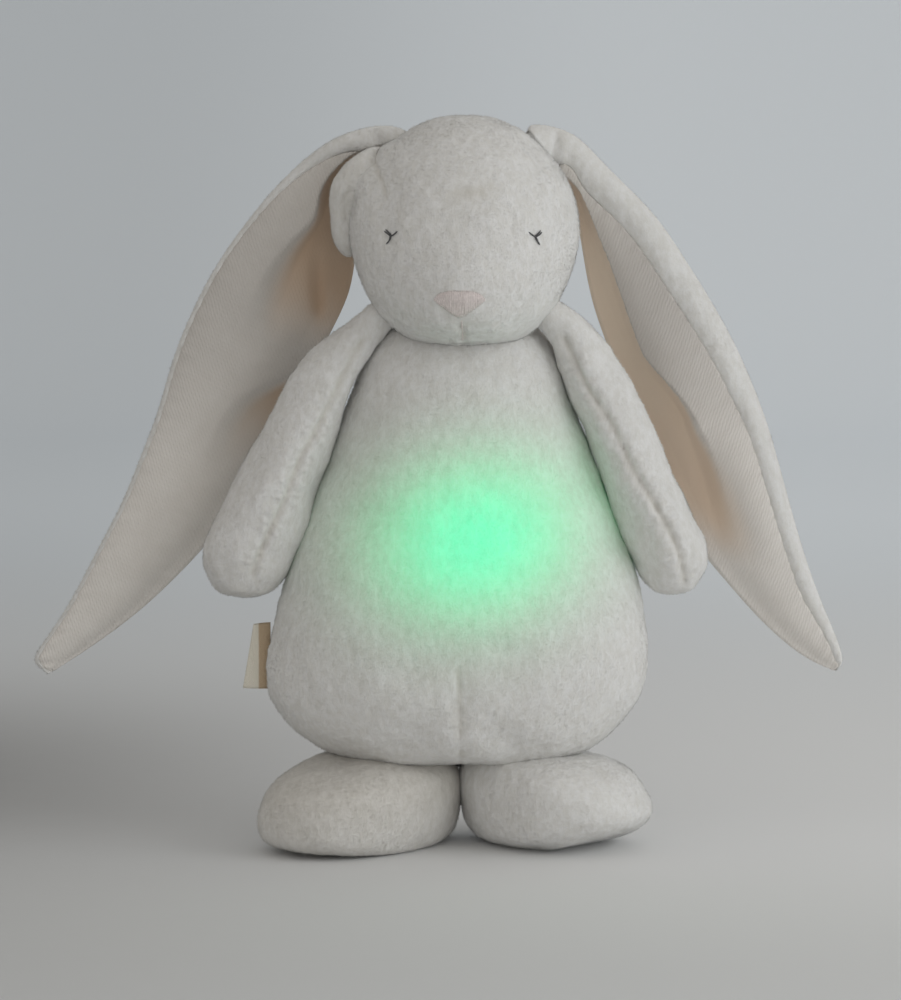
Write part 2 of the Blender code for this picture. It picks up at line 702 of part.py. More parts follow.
def make_ear(name, side, reach, edge_shares):
    """Lining and velour back of one ear, which turns about the top of its root."""
    front = ear_front(side, reach, edge_shares)
    root = bpy.data.objects.new(f"{name}_root", None)
    bpy.data.collections[PARTS].objects.link(root)
    root.location = front[0, 0]
    behind = np.full(EAR_COLUMNS, EAR_LINING_THICKNESS + EAR_LAYER_GAP)
    behind[0] = 0.0
    back = front + facing_back(front) * behind[None, :, None]
    lining = front[:, 1:]
    ear_layer(f"{name}_lining", lining, EAR_LINING_THICKNESS, "woven_lining", root)
    ear_layer(f"{name}_back", back, EAR_BACK_THICKNESS, "velour", root)


def stitch(name, outline, look):
    """Embroidery: the outline carried back onto the head and kept as a thin layer on its surface."""
    made = prism(name, outline, HEAD_Y - HEAD_DEPTH, HEAD_Y, look)
    boolean(made, bpy.data.objects["stitch_top_cutter"], "INTERSECT")
    return boolean(made, bpy.data.objects["stitch_seat_cutter"])


def star(x, z, side):
    """Outline of a three-armed eye stitch around the point (x, z)."""
    outline = []
    half = EYE_ARM_WIDTH / 2
    count = len(EYE_ARM_TURNS)
    for number in range(count):
        turn = EYE_ARM_TURNS[number]
        after = EYE_ARM_TURNS[(number + 1) % count] + (math.tau if number == count - 1 else 0.0)
        way = np.array((math.cos(turn), math.sin(turn)))
        square = np.array((-way[1], way[0]))
        crotch = (turn + after) / 2
        outline.append(way * EYE_SIZE - square * half)
        outline.append(way * EYE_SIZE + square * half)
        outline.append(np.array((math.cos(crotch), math.sin(crotch))) * EYE_ARM_WIDTH)
    return [(x + side * px, z + pz) for px, pz in outline]


def make_face():
    head_form("stitch_top_cutter", grow=SEAM_GAP + STITCH_THICKNESS)
    head_form("stitch_seat_cutter", grow=SEAM_GAP)
    middle = HEAD_X + FACE_SHIFT_X
    eye_z = HEAD_BOTTOM + EYE_UP_SHARE * HEAD_HEIGHT
    stitch("left_eye_stitch", star(middle + EYE_OUT, eye_z, 1), "grey_thread")
    stitch("right_eye_stitch", star(middle - EYE_OUT, eye_z, -1), "grey_thread")
    nose_z = HEAD_BOTTOM + NOSE_UP_SHARE * HEAD_HEIGHT
    nose = [(middle + x * NOSE_WIDTH, nose_z + z * NOSE_HEIGHT) for x, z in NOSE_OUTLINE_SHARES]
    stitch("nose_stitch", nose, "pink_thread")
    top = nose_z - NOSE_HEIGHT / 2 - MOUTH_GAP
    low = top - MOUTH_LENGTH
    left, right = middle - MOUTH_WIDTH / 2, middle + MOUTH_WIDTH / 2
    stitch("mouth_stitch", [(left, low), (right, low), (right, top), (left, top)], "pink_thread")


def make_tag():
    """The ribbon's two plies, joined by the fold at their outer end and closed at the seam."""
    z = BODY_BOTTOM + TAG_UP_SHARE * BODY_HEIGHT
    seam = AXIS_X - body_half_width(z) - TAG_GAP
    hinge = bpy.data.objects.new("tag_seam", None)
    bpy.data.collections[PARTS].objects.link(hinge)
    middle_y = AXIS_Y + BODY_DEPTH * (body_share_at(z, 2) - body_share_at(z, 3)) / 2
    hinge.location = (seam, middle_y, z)
    fold = TAG_LOOP / 2 + TAG_RIBBON / 2
    turns = np.linspace(-math.pi / 2, math.pi / 2, TAG_POINTS)
    outline = [(-TAG_RIBBON / 2, -TAG_RIBBON / 2), (-TAG_REACH / 3, -fold)]
    outline += [(-TAG_REACH + fold - fold * math.cos(t), fold * math.sin(t)) for t in turns]
    outline += [(-TAG_REACH / 3, fold), (-TAG_RIBBON / 2, TAG_RIBBON / 2)]
    bm = bmesh.new()
    low = [bm.verts.new((x, y, -TAG_HEIGHT / 2)) for x, y in outline]
    high = [bm.verts.new((x, y, TAG_HEIGHT / 2)) for x, y in outline]
    for here in range(len(outline) - 1):
        bm.faces.new((low[here], low[here + 1], high[here + 1], high[here]))
    mesh = bpy.data.meshes.new("side_tag")
    bm.to_mesh(mesh)
    bm.free()
    tag = put("side_tag", mesh, "ribbon", hinge)
    wall = tag.modifiers.new("ribbon", "SOLIDIFY")
    wall.thickness = TAG_RIBBON
    wall.offset = 0.0
    return tag


def make_pouch(module):
    spare = 2 * (POUCH_THICKNESS + SEAM_GAP)
    front = DOME_TIP - SEAM_GAP - POUCH_THICKNESS
    pouch = slab(
        "module_pouch", HOUSING_WIDTH + spare, HOUSING_HEIGHT + spare, front, -SEAM_GAP,
        POCKET_CORNER, "pouch_cotton", module,
    )
    inside = slab(
        "pouch_cutter", HOUSING_WIDTH + 2 * SEAM_GAP, HOUSING_HEIGHT + 2 * SEAM_GAP,
        DOME_TIP - SEAM_GAP, CUT_OVERRUN, POCKET_CORNER - POUCH_THICKNESS, parent=module,
    )
    return boolean(pouch, inside)


def boss_places():
    return [(x * BOSS_X, z * BOSS_Z) for x in (-1, 1) for z in (-1, 1)]


def make_rear_housing(module):
    """Rear shell: screw bosses, the battery bay's opening and lug, button and socket holes."""
    inner_width, inner_height = HOUSING_WIDTH - 2 * HOUSING_WALL, HOUSING_HEIGHT - 2 * HOUSING_WALL
    shell = slab(
        "rear_housing", HOUSING_WIDTH, HOUSING_HEIGHT, SPLIT, REAR_FACE, HOUSING_CORNER,
        "housing_plastic", module,
    )
    boolean(shell, slab(
        "rear_hollow", inner_width, inner_height, SPLIT - CUT_OVERRUN, REAR_WALL_IN,
        HOUSING_CORNER - HOUSING_WALL, parent=module,
    ))
    for number, place in enumerate(boss_places(), 1):
        boss = rod(f"rear_boss_{number}", BOSS_RADIUS, ON_BOARD, REAR_FACE - FUSE, parent=module, at=place)
        boolean(shell, boss, "UNION")
    bay_height = COVER_TOP - BAY_BOTTOM
    boolean(shell, slab(
        "bay_opening", 2 * BAY_HALF_WIDTH, bay_height, REAR_WALL_IN - SEAM_GAP, CUT_OVERRUN,
        0.0, parent=module, at=(0.0, BAY_BOTTOM + bay_height / 2),
    ))
    lug_top = COVER_TOP + LUG_ROOT
    lug_low = COVER_TOP - LUG_HEIGHT
    boolean(shell, slab(
        "lug", LUG_WIDTH, lug_top - lug_low, REAR_WALL_IN - SEAM_GAP - LUG_DEPTH, REAR_WALL_IN - SEAM_GAP,
        0.0, parent=module, at=(0.0, (lug_top + lug_low) / 2),
    ), "UNION")
    boolean(shell, slab(
        "lug_root", LUG_WIDTH, LUG_ROOT - SEAM_GAP, REAR_WALL_IN - SEAM_GAP - FUSE, REAR_WALL_IN + FUSE,
        0.0, parent=module, at=(0.0, COVER_TOP + (LUG_ROOT + SEAM_GAP) / 2),
    ), "UNION")
    for number, place in enumerate(boss_places(), 1):
        boolean(shell, rod(
            f"rear_bore_{number}", SCREW_RADIUS + SEAM_GAP, SPLIT - CUT_OVERRUN, CUT_OVERRUN,
            parent=module, at=place,
        ))
        boolean(shell, rod(
            f"screw_sink_{number}", SCREW_HEAD_RADIUS + SEAM_GAP, REAR_FACE - SCREW_SUNK, CUT_OVERRUN,
            parent=module, at=place,
        ))
    boolean(shell, rod(
        "lug_bore", COVER_SCREW_RADIUS + SEAM_GAP, REAR_WALL_IN - LUG_DEPTH, CUT_OVERRUN,
        parent=module, at=(0.0, COVER_TOP - COVER_SCREW_INSET),
    ))
    for number, place in enumerate(button_places(), 1):
        boolean(shell, rod(
            f"button_hole_{number}", BUTTON_RADIUS + SEAM_GAP, REAR_WALL_IN - SEAM_GAP, CUT_OVERRUN,
            parent=module, at=place, steps=ROUND_STEPS,
        ))
    return boolean(shell, slab(
        "socket_hole", SOCKET_WIDTH + 2 * SEAM_GAP, SOCKET_HEIGHT + 2 * SEAM_GAP,
        REAR_WALL_IN - SEAM_GAP, CUT_OVERRUN, SOCKET_HEIGHT / 2, parent=module, at=(0.0, SOCKET_UP),
    ))


def make_front_housing(module):
    """Front shell: the dome's round opening, the screws' bosses and the light board's posts."""
    shell = slab(
        "front_housing", HOUSING_WIDTH, HOUSING_HEIGHT, FRONT_FACE, SPLIT - SEAM_GAP, HOUSING_CORNER,
        "housing_plastic", module,
    )
    boolean(shell, slab(
        "front_hollow", HOUSING_WIDTH - 2 * HOUSING_WALL, HOUSING_HEIGHT - 2 * HOUSING_WALL,
        FRONT_WALL_IN, CUT_OVERRUN, HOUSING_CORNER - HOUSING_WALL, parent=module,
    ))
    for number, place in enumerate(boss_places(), 1):
        boolean(shell, rod(
            f"front_boss_{number}", BOSS_RADIUS, FRONT_FACE + FUSE, UNDER_BOARD, parent=module, at=place,
        ), "UNION")
    for number, place in enumerate(light_post_places(), 1):
        boolean(shell, rod(
            f"light_post_{number}", LIGHT_POST_RADIUS, FRONT_FACE + FUSE,
            FRONT_WALL_IN + LIGHT_POST_LENGTH, parent=module, at=place, steps=ROUND_STEPS // 2,
        ), "UNION")
    for number, place in enumerate(boss_places(), 1):
        boolean(shell, rod(
            f"front_bore_{number}", SCREW_RADIUS + SEAM_GAP,
            REAR_FACE - SCREW_SUNK - SCREW_LENGTH - SCREW_RADIUS, CUT_OVERRUN, parent=module, at=place,
        ))
    return boolean(shell, rod(
        "dome_opening", DOME_RADIUS + SEAM_GAP, FRONT_FACE - CUT_OVERRUN, FRONT_WALL_IN + SEAM_GAP,
        parent=module, at=(0.0, DOME_UP), steps=DOME_STEPS,
    ))


def screw_piece(name, place, seat, radius, length, head_radius, head_height, module):
    """A pan-head screw with a straight slot; seat is where its head bears."""
    low = seat + SEAM_GAP
    screw = turned(name, (
        (0.0, low + head_height), (head_radius - head_height / 4, low + head_height),
        (head_radius, low + head_height / 2), (head_radius, low), (radius, low),
        (radius, low - length + radius), (0.0, low - length),
    ), "steel", module, place)
    slot = slab(
        f"{name}_slot", 2 * head_radius + CUT_OVERRUN, SCREW_SLOT, low + head_height / 2,
        low + head_height + CUT_OVERRUN, 0.0, parent=module, at=place,
    )
    return boolean(screw, slot)


def make_housing_screws(module):
    for number, place in enumerate(boss_places(), 1):
        screw_piece(
            f"housing_screw_{number}", place, REAR_FACE - SCREW_SUNK, SCREW_RADIUS, SCREW_LENGTH,
            SCREW_HEAD_RADIUS, SCREW_HEAD_HEIGHT, module,
        )


def make_diffuser(module):
    """A thin dome with a flange that bears on the inside of the front wall."""
    seat = FRONT_WALL_IN + SEAM_GAP
    flange_rear = seat + DOME_FLANGE_THICKNESS
    inner = DOME_RADIUS - DOME_WALL
    turns = np.linspace(0.0, math.pi / 2, DOME_STEPS // 4)
    inner_rise = DOME_RISE - DOME_WALL
    outside = [(DOME_RADIUS * math.cos(t), FRONT_FACE - DOME_RISE * math.sin(t)) for t in turns[:-1]]
    inside = [(inner * math.cos(t), FRONT_FACE - inner_rise * math.sin(t)) for t in turns[:-1]]
    profile = [(0.0, DOME_TIP + DOME_WALL), *reversed(inside), (inner, flange_rear)]
    profile += [(DOME_RADIUS + DOME_FLANGE, flange_rear), (DOME_RADIUS + DOME_FLANGE, seat)]
    profile += [(DOME_RADIUS, seat), *outside, (0.0, DOME_TIP)]
    return turned(
        "light_diffuser", profile, "diffuser_plastic", module, (0.0, DOME_UP), steps=DOME_STEPS
    )


def light_post_places():
    out = LIGHT_BOARD_WIDTH / 2 - LIGHT_POST_INSET
    up = LIGHT_BOARD_HEIGHT / 2 - LIGHT_POST_INSET
    return [(x * out, DOME_UP + z * up) for x in (-1, 1) for z in (-1, 1)]


def make_light_board(module):
    board_rear = LIGHT_BOARD_FRONT + BOARD_THICKNESS
    slab(
        "light_board", LIGHT_BOARD_WIDTH, LIGHT_BOARD_HEIGHT, LIGHT_BOARD_FRONT, board_rear,
        BOARD_CORNER, "circuit_board", module, (0.0, DOME_UP),
    )
    led_rear = LIGHT_BOARD_FRONT - SEAM_GAP
    for name, turn_share in LED_TURN_SHARES:
        turn = turn_share * math.tau
        place = (LED_OUT * math.cos(turn), DOME_UP + LED_OUT * math.sin(turn))
        slab(
            name, LED_SIZE, LED_SIZE, led_rear - LED_THICKNESS, led_rear, LED_SIZE / 8, "led_resin",
            module, place,
        )


def button_places():
    return [((number - 1) * BUTTON_SPACING, BUTTON_UP) for number in range(len(BUTTON_NAMES))]


def make_main_board(module):
    spare = 2 * (HOUSING_WALL + BOARD_EDGE_GAP)
    board = slab(
        "main_board", HOUSING_WIDTH - spare, HOUSING_HEIGHT - spare, BOARD_FRONT, BOARD_REAR,
        HOUSING_CORNER - HOUSING_WALL, "circuit_board", module,
    )
    for number, place in enumerate(boss_places(), 1):
        boolean(board, rod(
            f"board_hole_{number}", SCREW_RADIUS + SEAM_GAP, BOARD_FRONT - CUT_OVERRUN,
            BOARD_REAR + CUT_OVERRUN, parent=module, at=place,
        ))
    slab(
        "control_chip", CHIP_SIZE, CHIP_SIZE, UNDER_BOARD - CHIP_THICKNESS, UNDER_BOARD, 0.0,
        "black_plastic", module, (CHIP_OUT, CHIP_UP),
    )


def make_buttons(module):
    """Each button is held behind the rear wall by its flange and reaches down to its switch."""
    key_top = ON_BOARD + SWITCH_THICKNESS + SWITCH_KEY_HEIGHT
    flange_rear = REAR_WALL_IN - SEAM_GAP
    flange_front = flange_rear - BUTTON_FLANGE_THICKNESS
    cap = REAR_FACE + BUTTON_PROUD
    edge = BUTTON_PROUD / 3
    for name, place in zip(BUTTON_NAMES, button_places()):
        switch = slab(
            f"{name}_switch", SWITCH_SIZE, SWITCH_SIZE, ON_BOARD, ON_BOARD + SWITCH_THICKNESS, 0.0,
            "black_plastic", module, place,
        )
        boolean(switch, rod(
            f"{name}_key", SWITCH_KEY_RADIUS, ON_BOARD + SWITCH_THICKNESS - FUSE, key_top,
            parent=module, at=place, steps=ROUND_STEPS // 2,
        ), "UNION")
        turned(f"{name}_button", (
            (0.0, cap), (BUTTON_RADIUS - edge, cap), (BUTTON_RADIUS, cap - edge),
            (BUTTON_RADIUS, flange_rear), (BUTTON_RADIUS + BUTTON_FLANGE, flange_rear),
            (BUTTON_RADIUS + BUTTON_FLANGE, flange_front), (BUTTON_STEM_RADIUS, flange_front),
            (BUTTON_STEM_RADIUS, key_top + BUTTON_PLAY), (0.0, key_top + BUTTON_PLAY),
        ), "button_rubber", module, place)


def make_charging_socket(module):
    mouth = REAR_FACE - SOCKET_SUNK
    shell = slab(
        "charging_socket", SOCKET_WIDTH, SOCKET_HEIGHT, mouth - SOCKET_LENGTH, mouth,
        SOCKET_HEIGHT / 2 - SEAM_GAP, "steel", module, (0.0, SOCKET_UP),
    )
    hollow = slab(
        "socket_hollow", SOCKET_WIDTH - 2 * SOCKET_WALL, SOCKET_HEIGHT - 2 * SOCKET_WALL,
        mouth - SOCKET_LENGTH + 2 * SOCKET_WALL, CUT_OVERRUN,
        SOCKET_HEIGHT / 2 - SOCKET_WALL - SEAM_GAP, parent=module, at=(0.0, SOCKET_UP),
    )
    tongue = slab(
        "socket_tongue", SOCKET_TONGUE_WIDTH, SOCKET_TONGUE_HEIGHT, mouth - SOCKET_LENGTH,
        mouth - SOCKET_WALL, 0.0, parent=module, at=(0.0, SOCKET_UP),
    )
    boolean(hollow, tongue)
    boolean(shell, hollow)
    slab(
        "charging_board", CHARGING_BOARD_WIDTH, CHARGING_BOARD_THICKNESS, ON_BOARD,
        REAR_FACE - CHARGING_BOARD_INSET, 0.0, "circuit_board", module,
        (0.0, SOCKET_UP - SOCKET_HEIGHT / 2 - SEAM_GAP - CHARGING_BOARD_THICKNESS / 2),
    )


def make_battery(module):
    """Battery on the main board, a foam pad on it, and the cover with its tongue and screw."""
    battery_rear = ON_BOARD + BATTERY_THICKNESS
    slab(
        "battery", BATTERY_WIDTH, BATTERY_HEIGHT, ON_BOARD, battery_rear, BATTERY_CORNER,
        "battery_wrap", module, (0.0, BATTERY_UP),
    )
    slab(
        "battery_pad", BATTERY_WIDTH - 2 * PAD_MARGIN, BATTERY_HEIGHT - 2 * PAD_MARGIN,
        battery_rear + SEAM_GAP, REAR_WALL_IN - SEAM_GAP, BATTERY_CORNER, "foam", module,
        (0.0, BATTERY_UP),
    )
    low, high = BAY_BOTTOM + SEAM_GAP, COVER_TOP - SEAM_GAP
    cover = slab(
        "battery_cover", 2 * (BAY_HALF_WIDTH - SEAM_GAP), high - low, REAR_WALL_IN, REAR_FACE, 0.0,
        "housing_plastic", module, (0.0, (low + high) / 2),
    )
    tongue_rear = REAR_WALL_IN - SEAM_GAP
    tongue_low = BAY_BOTTOM - COVER_TONGUE_REACH
    tongue_high = BAY_BOTTOM + PAD_MARGIN
    boolean(cover, slab(
        "cover_tongue", COVER_TONGUE_WIDTH, tongue_high - tongue_low,
        tongue_rear - COVER_TONGUE_THICKNESS, tongue_rear, 0.0, parent=module,
        at=(0.0, (tongue_low + tongue_high) / 2),
    ), "UNION")
    boolean(cover, slab(
        "cover_tongue_root", COVER_TONGUE_WIDTH, tongue_high - low, tongue_rear - FUSE,
        REAR_WALL_IN + FUSE, 0.0, parent=module, at=(0.0, (tongue_high + low) / 2),
    ), "UNION")
    place = (0.0, COVER_TOP - COVER_SCREW_INSET)
    boolean(cover, rod(
        "cover_hole", COVER_SCREW_RADIUS + SEAM_GAP, REAR_WALL_IN - CUT_OVERRUN, CUT_OVERRUN,
        parent=module, at=place,
    ))
    screw_piece(
        "battery_cover_screw", place, REAR_FACE, COVER_SCREW_RADIUS, COVER_SCREW_LENGTH,
        COVER_SCREW_HEAD_RADIUS, COVER_SCREW_HEAD_HEIGHT, module,
    )


def make_leads(module):
    start, end = LIGHT_BOARD_FRONT + BOARD_THICKNESS + SEAM_GAP, UNDER_BOARD
    span = end - start
    shares = np.linspace(0.0, 1.0, LEAD_POINTS)
    lead("light_lead", [
        (-LEAD_OUT, start + share * span, LIGHT_LEAD_UP - LIGHT_LEAD_BOW * math.sin(math.pi * share) ** 2)
        for share in shares
    ], "lead_cover", module)
    top = BATTERY_UP + BATTERY_HEIGHT / 2 + SEAM_GAP
    depth = ON_BOARD + BATTERY_THICKNESS / 2
    turns = np.linspace(0.0, math.pi / 2, LEAD_POINTS)
    across = depth - ON_BOARD
    bend = [
        (-LEAD_OUT, depth - across * (1 - math.cos(t)), top + BATTERY_LEAD_RISE * (1 + math.sin(t)) / 2)
        for t in turns
    ]
    lead("battery_lead", [(-LEAD_OUT, depth, top), *bend], "lead_cover", module)


def make_flap(module):
    """The flap turns about its top edge, where a folded hem brings it down to the back."""
    hinge = bpy.data.objects.new("flap_seam", None)
    bpy.data.collections[PARTS].objects.link(hinge)
    middle_y = AXIS_Y + BACK_FLAT
    hinge.location = (AXIS_X, middle_y + FLAP_STAND, BODY_BOTTOM + FLAP_TOP)
    flap = slab(
        "back_flap", FLAP_WIDTH, FLAP_HEIGHT, 0.0, FLAP_THICKNESS, FLAP_CORNER, "velour", hinge,
        (0.0, -FLAP_HEIGHT / 2),
    )
    boolean(flap, slab(
        "flap_hem", FLAP_WIDTH - 2 * FLAP_CORNER, FLAP_HEM, SEAM_GAP - FLAP_STAND, FUSE, 0.0,
        parent=hinge, at=(0.0, -FLAP_HEM / 2 - FUSE),
    ), "UNION")
    slab(
        "flap_hook_strip", STRIP_WIDTH, STRIP_HEIGHT, -SEAM_GAP - STRIP_THICKNESS, -SEAM_GAP,
        STRIP_CORNER, "strip_nylon", hinge, (0.0, STRIP_UP - FLAP_TOP),
    )
    slab(
        "body_loop_strip", STRIP_WIDTH, STRIP_HEIGHT, SEAM_GAP, SEAM_GAP + STRIP_THICKNESS,
        STRIP_CORNER, "strip_nylon", module, (0.0, STRIP_UP - MODULE_UP),
    )


def make_plush(module):
    make_body(module)
    make_head()
    make_limb_cutters()
    make_arm("left_arm", 1)
    make_arm("right_arm", -1)
    make_foot("left_foot", 1)
    make_foot("right_foot", -1)
    head_form("ear_head_cutter", grow=EAR_HEAD_GAP)
    make_ear("left_ear", 1, LEFT_EAR_REACH, LEFT_EAR_EDGE_SHARES)
    make_ear("right_ear", -1, RIGHT_EAR_REACH, RIGHT_EAR_EDGE_SHARES)
    make_face()
    make_tag()
    make_flap(module)


def make_module(module):
    make_pouch(module)
    make_front_housing(module)
    make_rear_housing(module)
    make_housing_screws(module)
    make_diffuser(module)
    make_light_board(module)
    make_main_board(module)
    make_buttons(module)
    make_charging_socket(module)
    make_battery(module)
    make_leads(module)


def main():
    for old in list(bpy.data.objects):
        bpy.data.objects.remove(old)
    new_collection(PARTS)
    cutters = new_collection(CUTTERS)
    cutters.hide_render = True
    module = module_empty()
    make_plush(module)
    make_module(module)
    bpy.context.view_layer.update()


main()
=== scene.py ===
"""Looks of a plush rabbit night light, written as a Blender add-on and run as a script.

Lengths are metres, +Z is up and the toy looks along -Y; its left is at +X. Each operator makes one
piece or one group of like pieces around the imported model, and the panel lists them.
"""

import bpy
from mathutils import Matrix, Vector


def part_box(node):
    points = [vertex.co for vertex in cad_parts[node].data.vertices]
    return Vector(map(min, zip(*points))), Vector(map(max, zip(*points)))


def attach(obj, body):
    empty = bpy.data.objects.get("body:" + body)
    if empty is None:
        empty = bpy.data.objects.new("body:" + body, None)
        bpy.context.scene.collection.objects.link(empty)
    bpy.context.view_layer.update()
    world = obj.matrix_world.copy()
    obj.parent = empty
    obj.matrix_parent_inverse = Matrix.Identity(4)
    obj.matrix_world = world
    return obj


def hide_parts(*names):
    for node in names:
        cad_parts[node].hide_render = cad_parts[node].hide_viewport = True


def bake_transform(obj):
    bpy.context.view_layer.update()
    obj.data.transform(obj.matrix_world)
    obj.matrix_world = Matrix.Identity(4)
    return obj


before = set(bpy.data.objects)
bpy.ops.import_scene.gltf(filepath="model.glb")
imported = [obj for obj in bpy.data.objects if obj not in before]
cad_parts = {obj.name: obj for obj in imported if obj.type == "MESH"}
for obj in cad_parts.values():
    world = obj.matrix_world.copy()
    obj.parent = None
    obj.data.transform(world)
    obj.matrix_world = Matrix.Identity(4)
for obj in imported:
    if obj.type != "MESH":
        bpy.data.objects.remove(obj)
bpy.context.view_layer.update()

import math  # noqa: E402
from itertools import product  # noqa: E402

import bpy  # noqa: E402
import numpy as np  # noqa: E402

bl_info = {
    "name": "Plush night light",
    "version": (1, 0, 0),
    "blender": (4, 5, 0),
    "location": "3D View > Sidebar > Night light",
    "description": "Dresses the night light's packed model in cloth, thread and plastic",
    "category": "Object",
}

MM = 0.001
BLACK = (0.0, 0.0, 0.0, 1.0)
# a side's name and its direction along X
SIDES = (("left", 1), ("right", -1))

# The body's middle, and the forms' sections as in the part's source
AXIS_X, AXIS_Y = 0.0084, 0.0135
BODY_BOTTOM, BODY_HEIGHT, BODY_WIDTH, BODY_DEPTH = 0.0305, 0.197, 0.163, 0.095
# height, half width, reach to the back and to the front, as shares of the size
BODY_SECTION_SHARES = (
    (-0.012, 0.00, 0.00, 0.00), (-0.009, 0.20, 0.07, 0.14),
    (0.000, 0.40, 0.13, 0.28), (0.055, 0.72, 0.30, 0.51), (0.140, 0.94, 0.36, 0.59),
    (0.235, 1.00, 0.39, 0.61), (0.340, 0.96, 0.40, 0.59), (0.500, 0.83, 0.40, 0.52),
    (0.680, 0.69, 0.39, 0.42), (0.860, 0.54, 0.34, 0.34), (0.955, 0.41, 0.26, 0.25),
    (1.000, 0.26, 0.17, 0.16), (1.010, 0.12, 0.08, 0.08), (1.012, 0.00, 0.00, 0.00),
)
HEAD_X, HEAD_Y, HEAD_BOTTOM = 0.0110, 0.0085, 0.2115
HEAD_HEIGHT, HEAD_WIDTH, HEAD_DEPTH = 0.102, 0.099, 0.096
HEAD_SECTION_SHARES = (
    (-0.02, 0.00, 0.00, 0.00), (-0.015, 0.15, 0.05, 0.12),
    (0.00, 0.30, 0.10, 0.26), (0.13, 0.66, 0.26, 0.47), (0.30, 0.89, 0.39, 0.54),
    (0.50, 1.00, 0.46, 0.52), (0.70, 0.93, 0.44, 0.45), (0.88, 0.66, 0.30, 0.31),
    (0.98, 0.34, 0.15, 0.16), (1.00, 0.17, 0.07, 0.08), (1.005, 0.00, 0.00, 0.00),
)
SHOULDER_OUT, SHOULDER_Y, SHOULDER_Z = 0.04115, 0.0015, 0.2197
# arms from under the head down: middle's x and z, then half the width as x and z, in millimetres
ARM_SECTIONS = {
    "right": (
        (-13.9, 240.5, -0.1, 0.1), (-16.0, 238.4, -2.6, 2.6), (-20.5, 234.1, -4.5, 4.3),
        (-26.4, 228.4, -5.6, 5.0), (-34.9, 220.2, -7.2, 5.6), (-45.5, 208.2, -9.6, 6.9),
        (-54.0, 194.0, -12.6, 6.9), (-63.4, 173.3, -15.2, 6.7), (-71.0, 157.1, -17.0, 6.5),
        (-78.2, 139.1, -18.1, 5.4), (-83.3, 127.9, -18.6, 3.6), (-84.9, 118.5, -16.9, 1.7),
        (-85.7, 110.3, -11.0, 0.4), (-85.7, 108.0, -5.5, 0.1), (-85.7, 107.2, -0.1, 0.0)),
    "left": (
        (38.9, 239.3, 0.1, 0.1), (40.8, 237.8, 2.6, 2.6), (44.5, 233.7, 4.1, 4.3),
        (49.9, 228.1, 5.0, 5.2), (55.9, 221.9, 6.6, 5.4), (62.6, 211.2, 9.2, 5.6),
        (69.3, 198.1, 11.2, 6.3), (76.0, 183.6, 12.6, 6.2), (82.4, 168.1, 13.7, 6.0),
        (89.1, 151.9, 14.8, 5.4), (95.4, 137.8, 15.7, 4.9), (100.4, 124.8, 15.3, 4.0),
        (102.2, 116.8, 13.0, 2.4), (102.6, 110.4, 8.2, 0.7), (102.7, 108.4, 4.2, 0.2),
        (102.7, 107.7, 0.1, 0.0)),
}
ARM_DEPTH = 0.018
FOOT_LENGTH, FOOT_WIDTH, FOOT_HEIGHT = 0.098, 0.068, 0.0365
FOOT_SPLAY, FOOT_FORWARD = math.radians(44), 0.0215
FOOT_OUT = {"left": 0.0462, "right": 0.0434}
# how far the top leans towards the other foot
FOOT_LEAN = {"left": 0.0080, "right": 0.0055}
# where the seam starts and ends, in half turns from the toe, and its height
FOOT_SEAM_TURNS = {"left": (0.10, 0.44), "right": (0.40, 0.80)}
FOOT_SEAM_Z = 0.0245
# height, length and width, as shares of the size
FOOT_SECTION_SHARES = (
    (-0.010, 0.00, 0.00), (-0.010, 0.50, 0.50), (0.00, 0.84, 0.82), (0.20, 0.99, 0.98),
    (0.45, 1.00, 1.00), (0.72, 0.985, 0.985), (0.90, 0.91, 0.94), (1.01, 0.75, 0.83), (1.07, 0.45, 0.60),
    (1.08, 0.00, 0.00),
)
# how far the sole is raised at the toe, and the shares of its height and length that the toe loses
FOOT_TOE_RISE = {"left": 0.0095, "right": 0.0025}
FOOT_TOE_DROP = {"left": 0.02, "right": 0.14}
FOOT_TOE_SHORT = {"left": 0.21, "right": 0.04}
# how far each foot's pile is painted darker as painted shade, from 0 to 1
FOOT_PAINTED_SHADE = {"left": 0.0, "right": 0.9}
# fullness of the body's sides beyond its sections, height and width in millimetres
BODY_SIDES = {
    "right": ((30.0, -3.0), (43.0, 0.0), (49.0, 1.2), (55.0, 3.6), (61.0, 4.2), (67.0, 3.8), (88.0, 2.2),
              (110.0, 3.4), (128.0, 4.8), (140.0, 4.2), (172.0, 3.2), (194.0, 2.2), (208.0, 2.6),
              (216.0, 3.6), (226.0, 4.0), (232.0, 3.0)),
    "left": ((30.0, -0.5), (46.0, -2.8), (55.0, -1.4), (67.0, 0.6), (88.0, 2.4), (105.0, 5.3),
             (122.0, 7.3), (142.0, 6.2), (172.0, 4.4), (194.0, 3.4), (208.0, 4.6), (216.0, 6.0),
             (226.0, 5.4), (232.0, 4.0)),
}

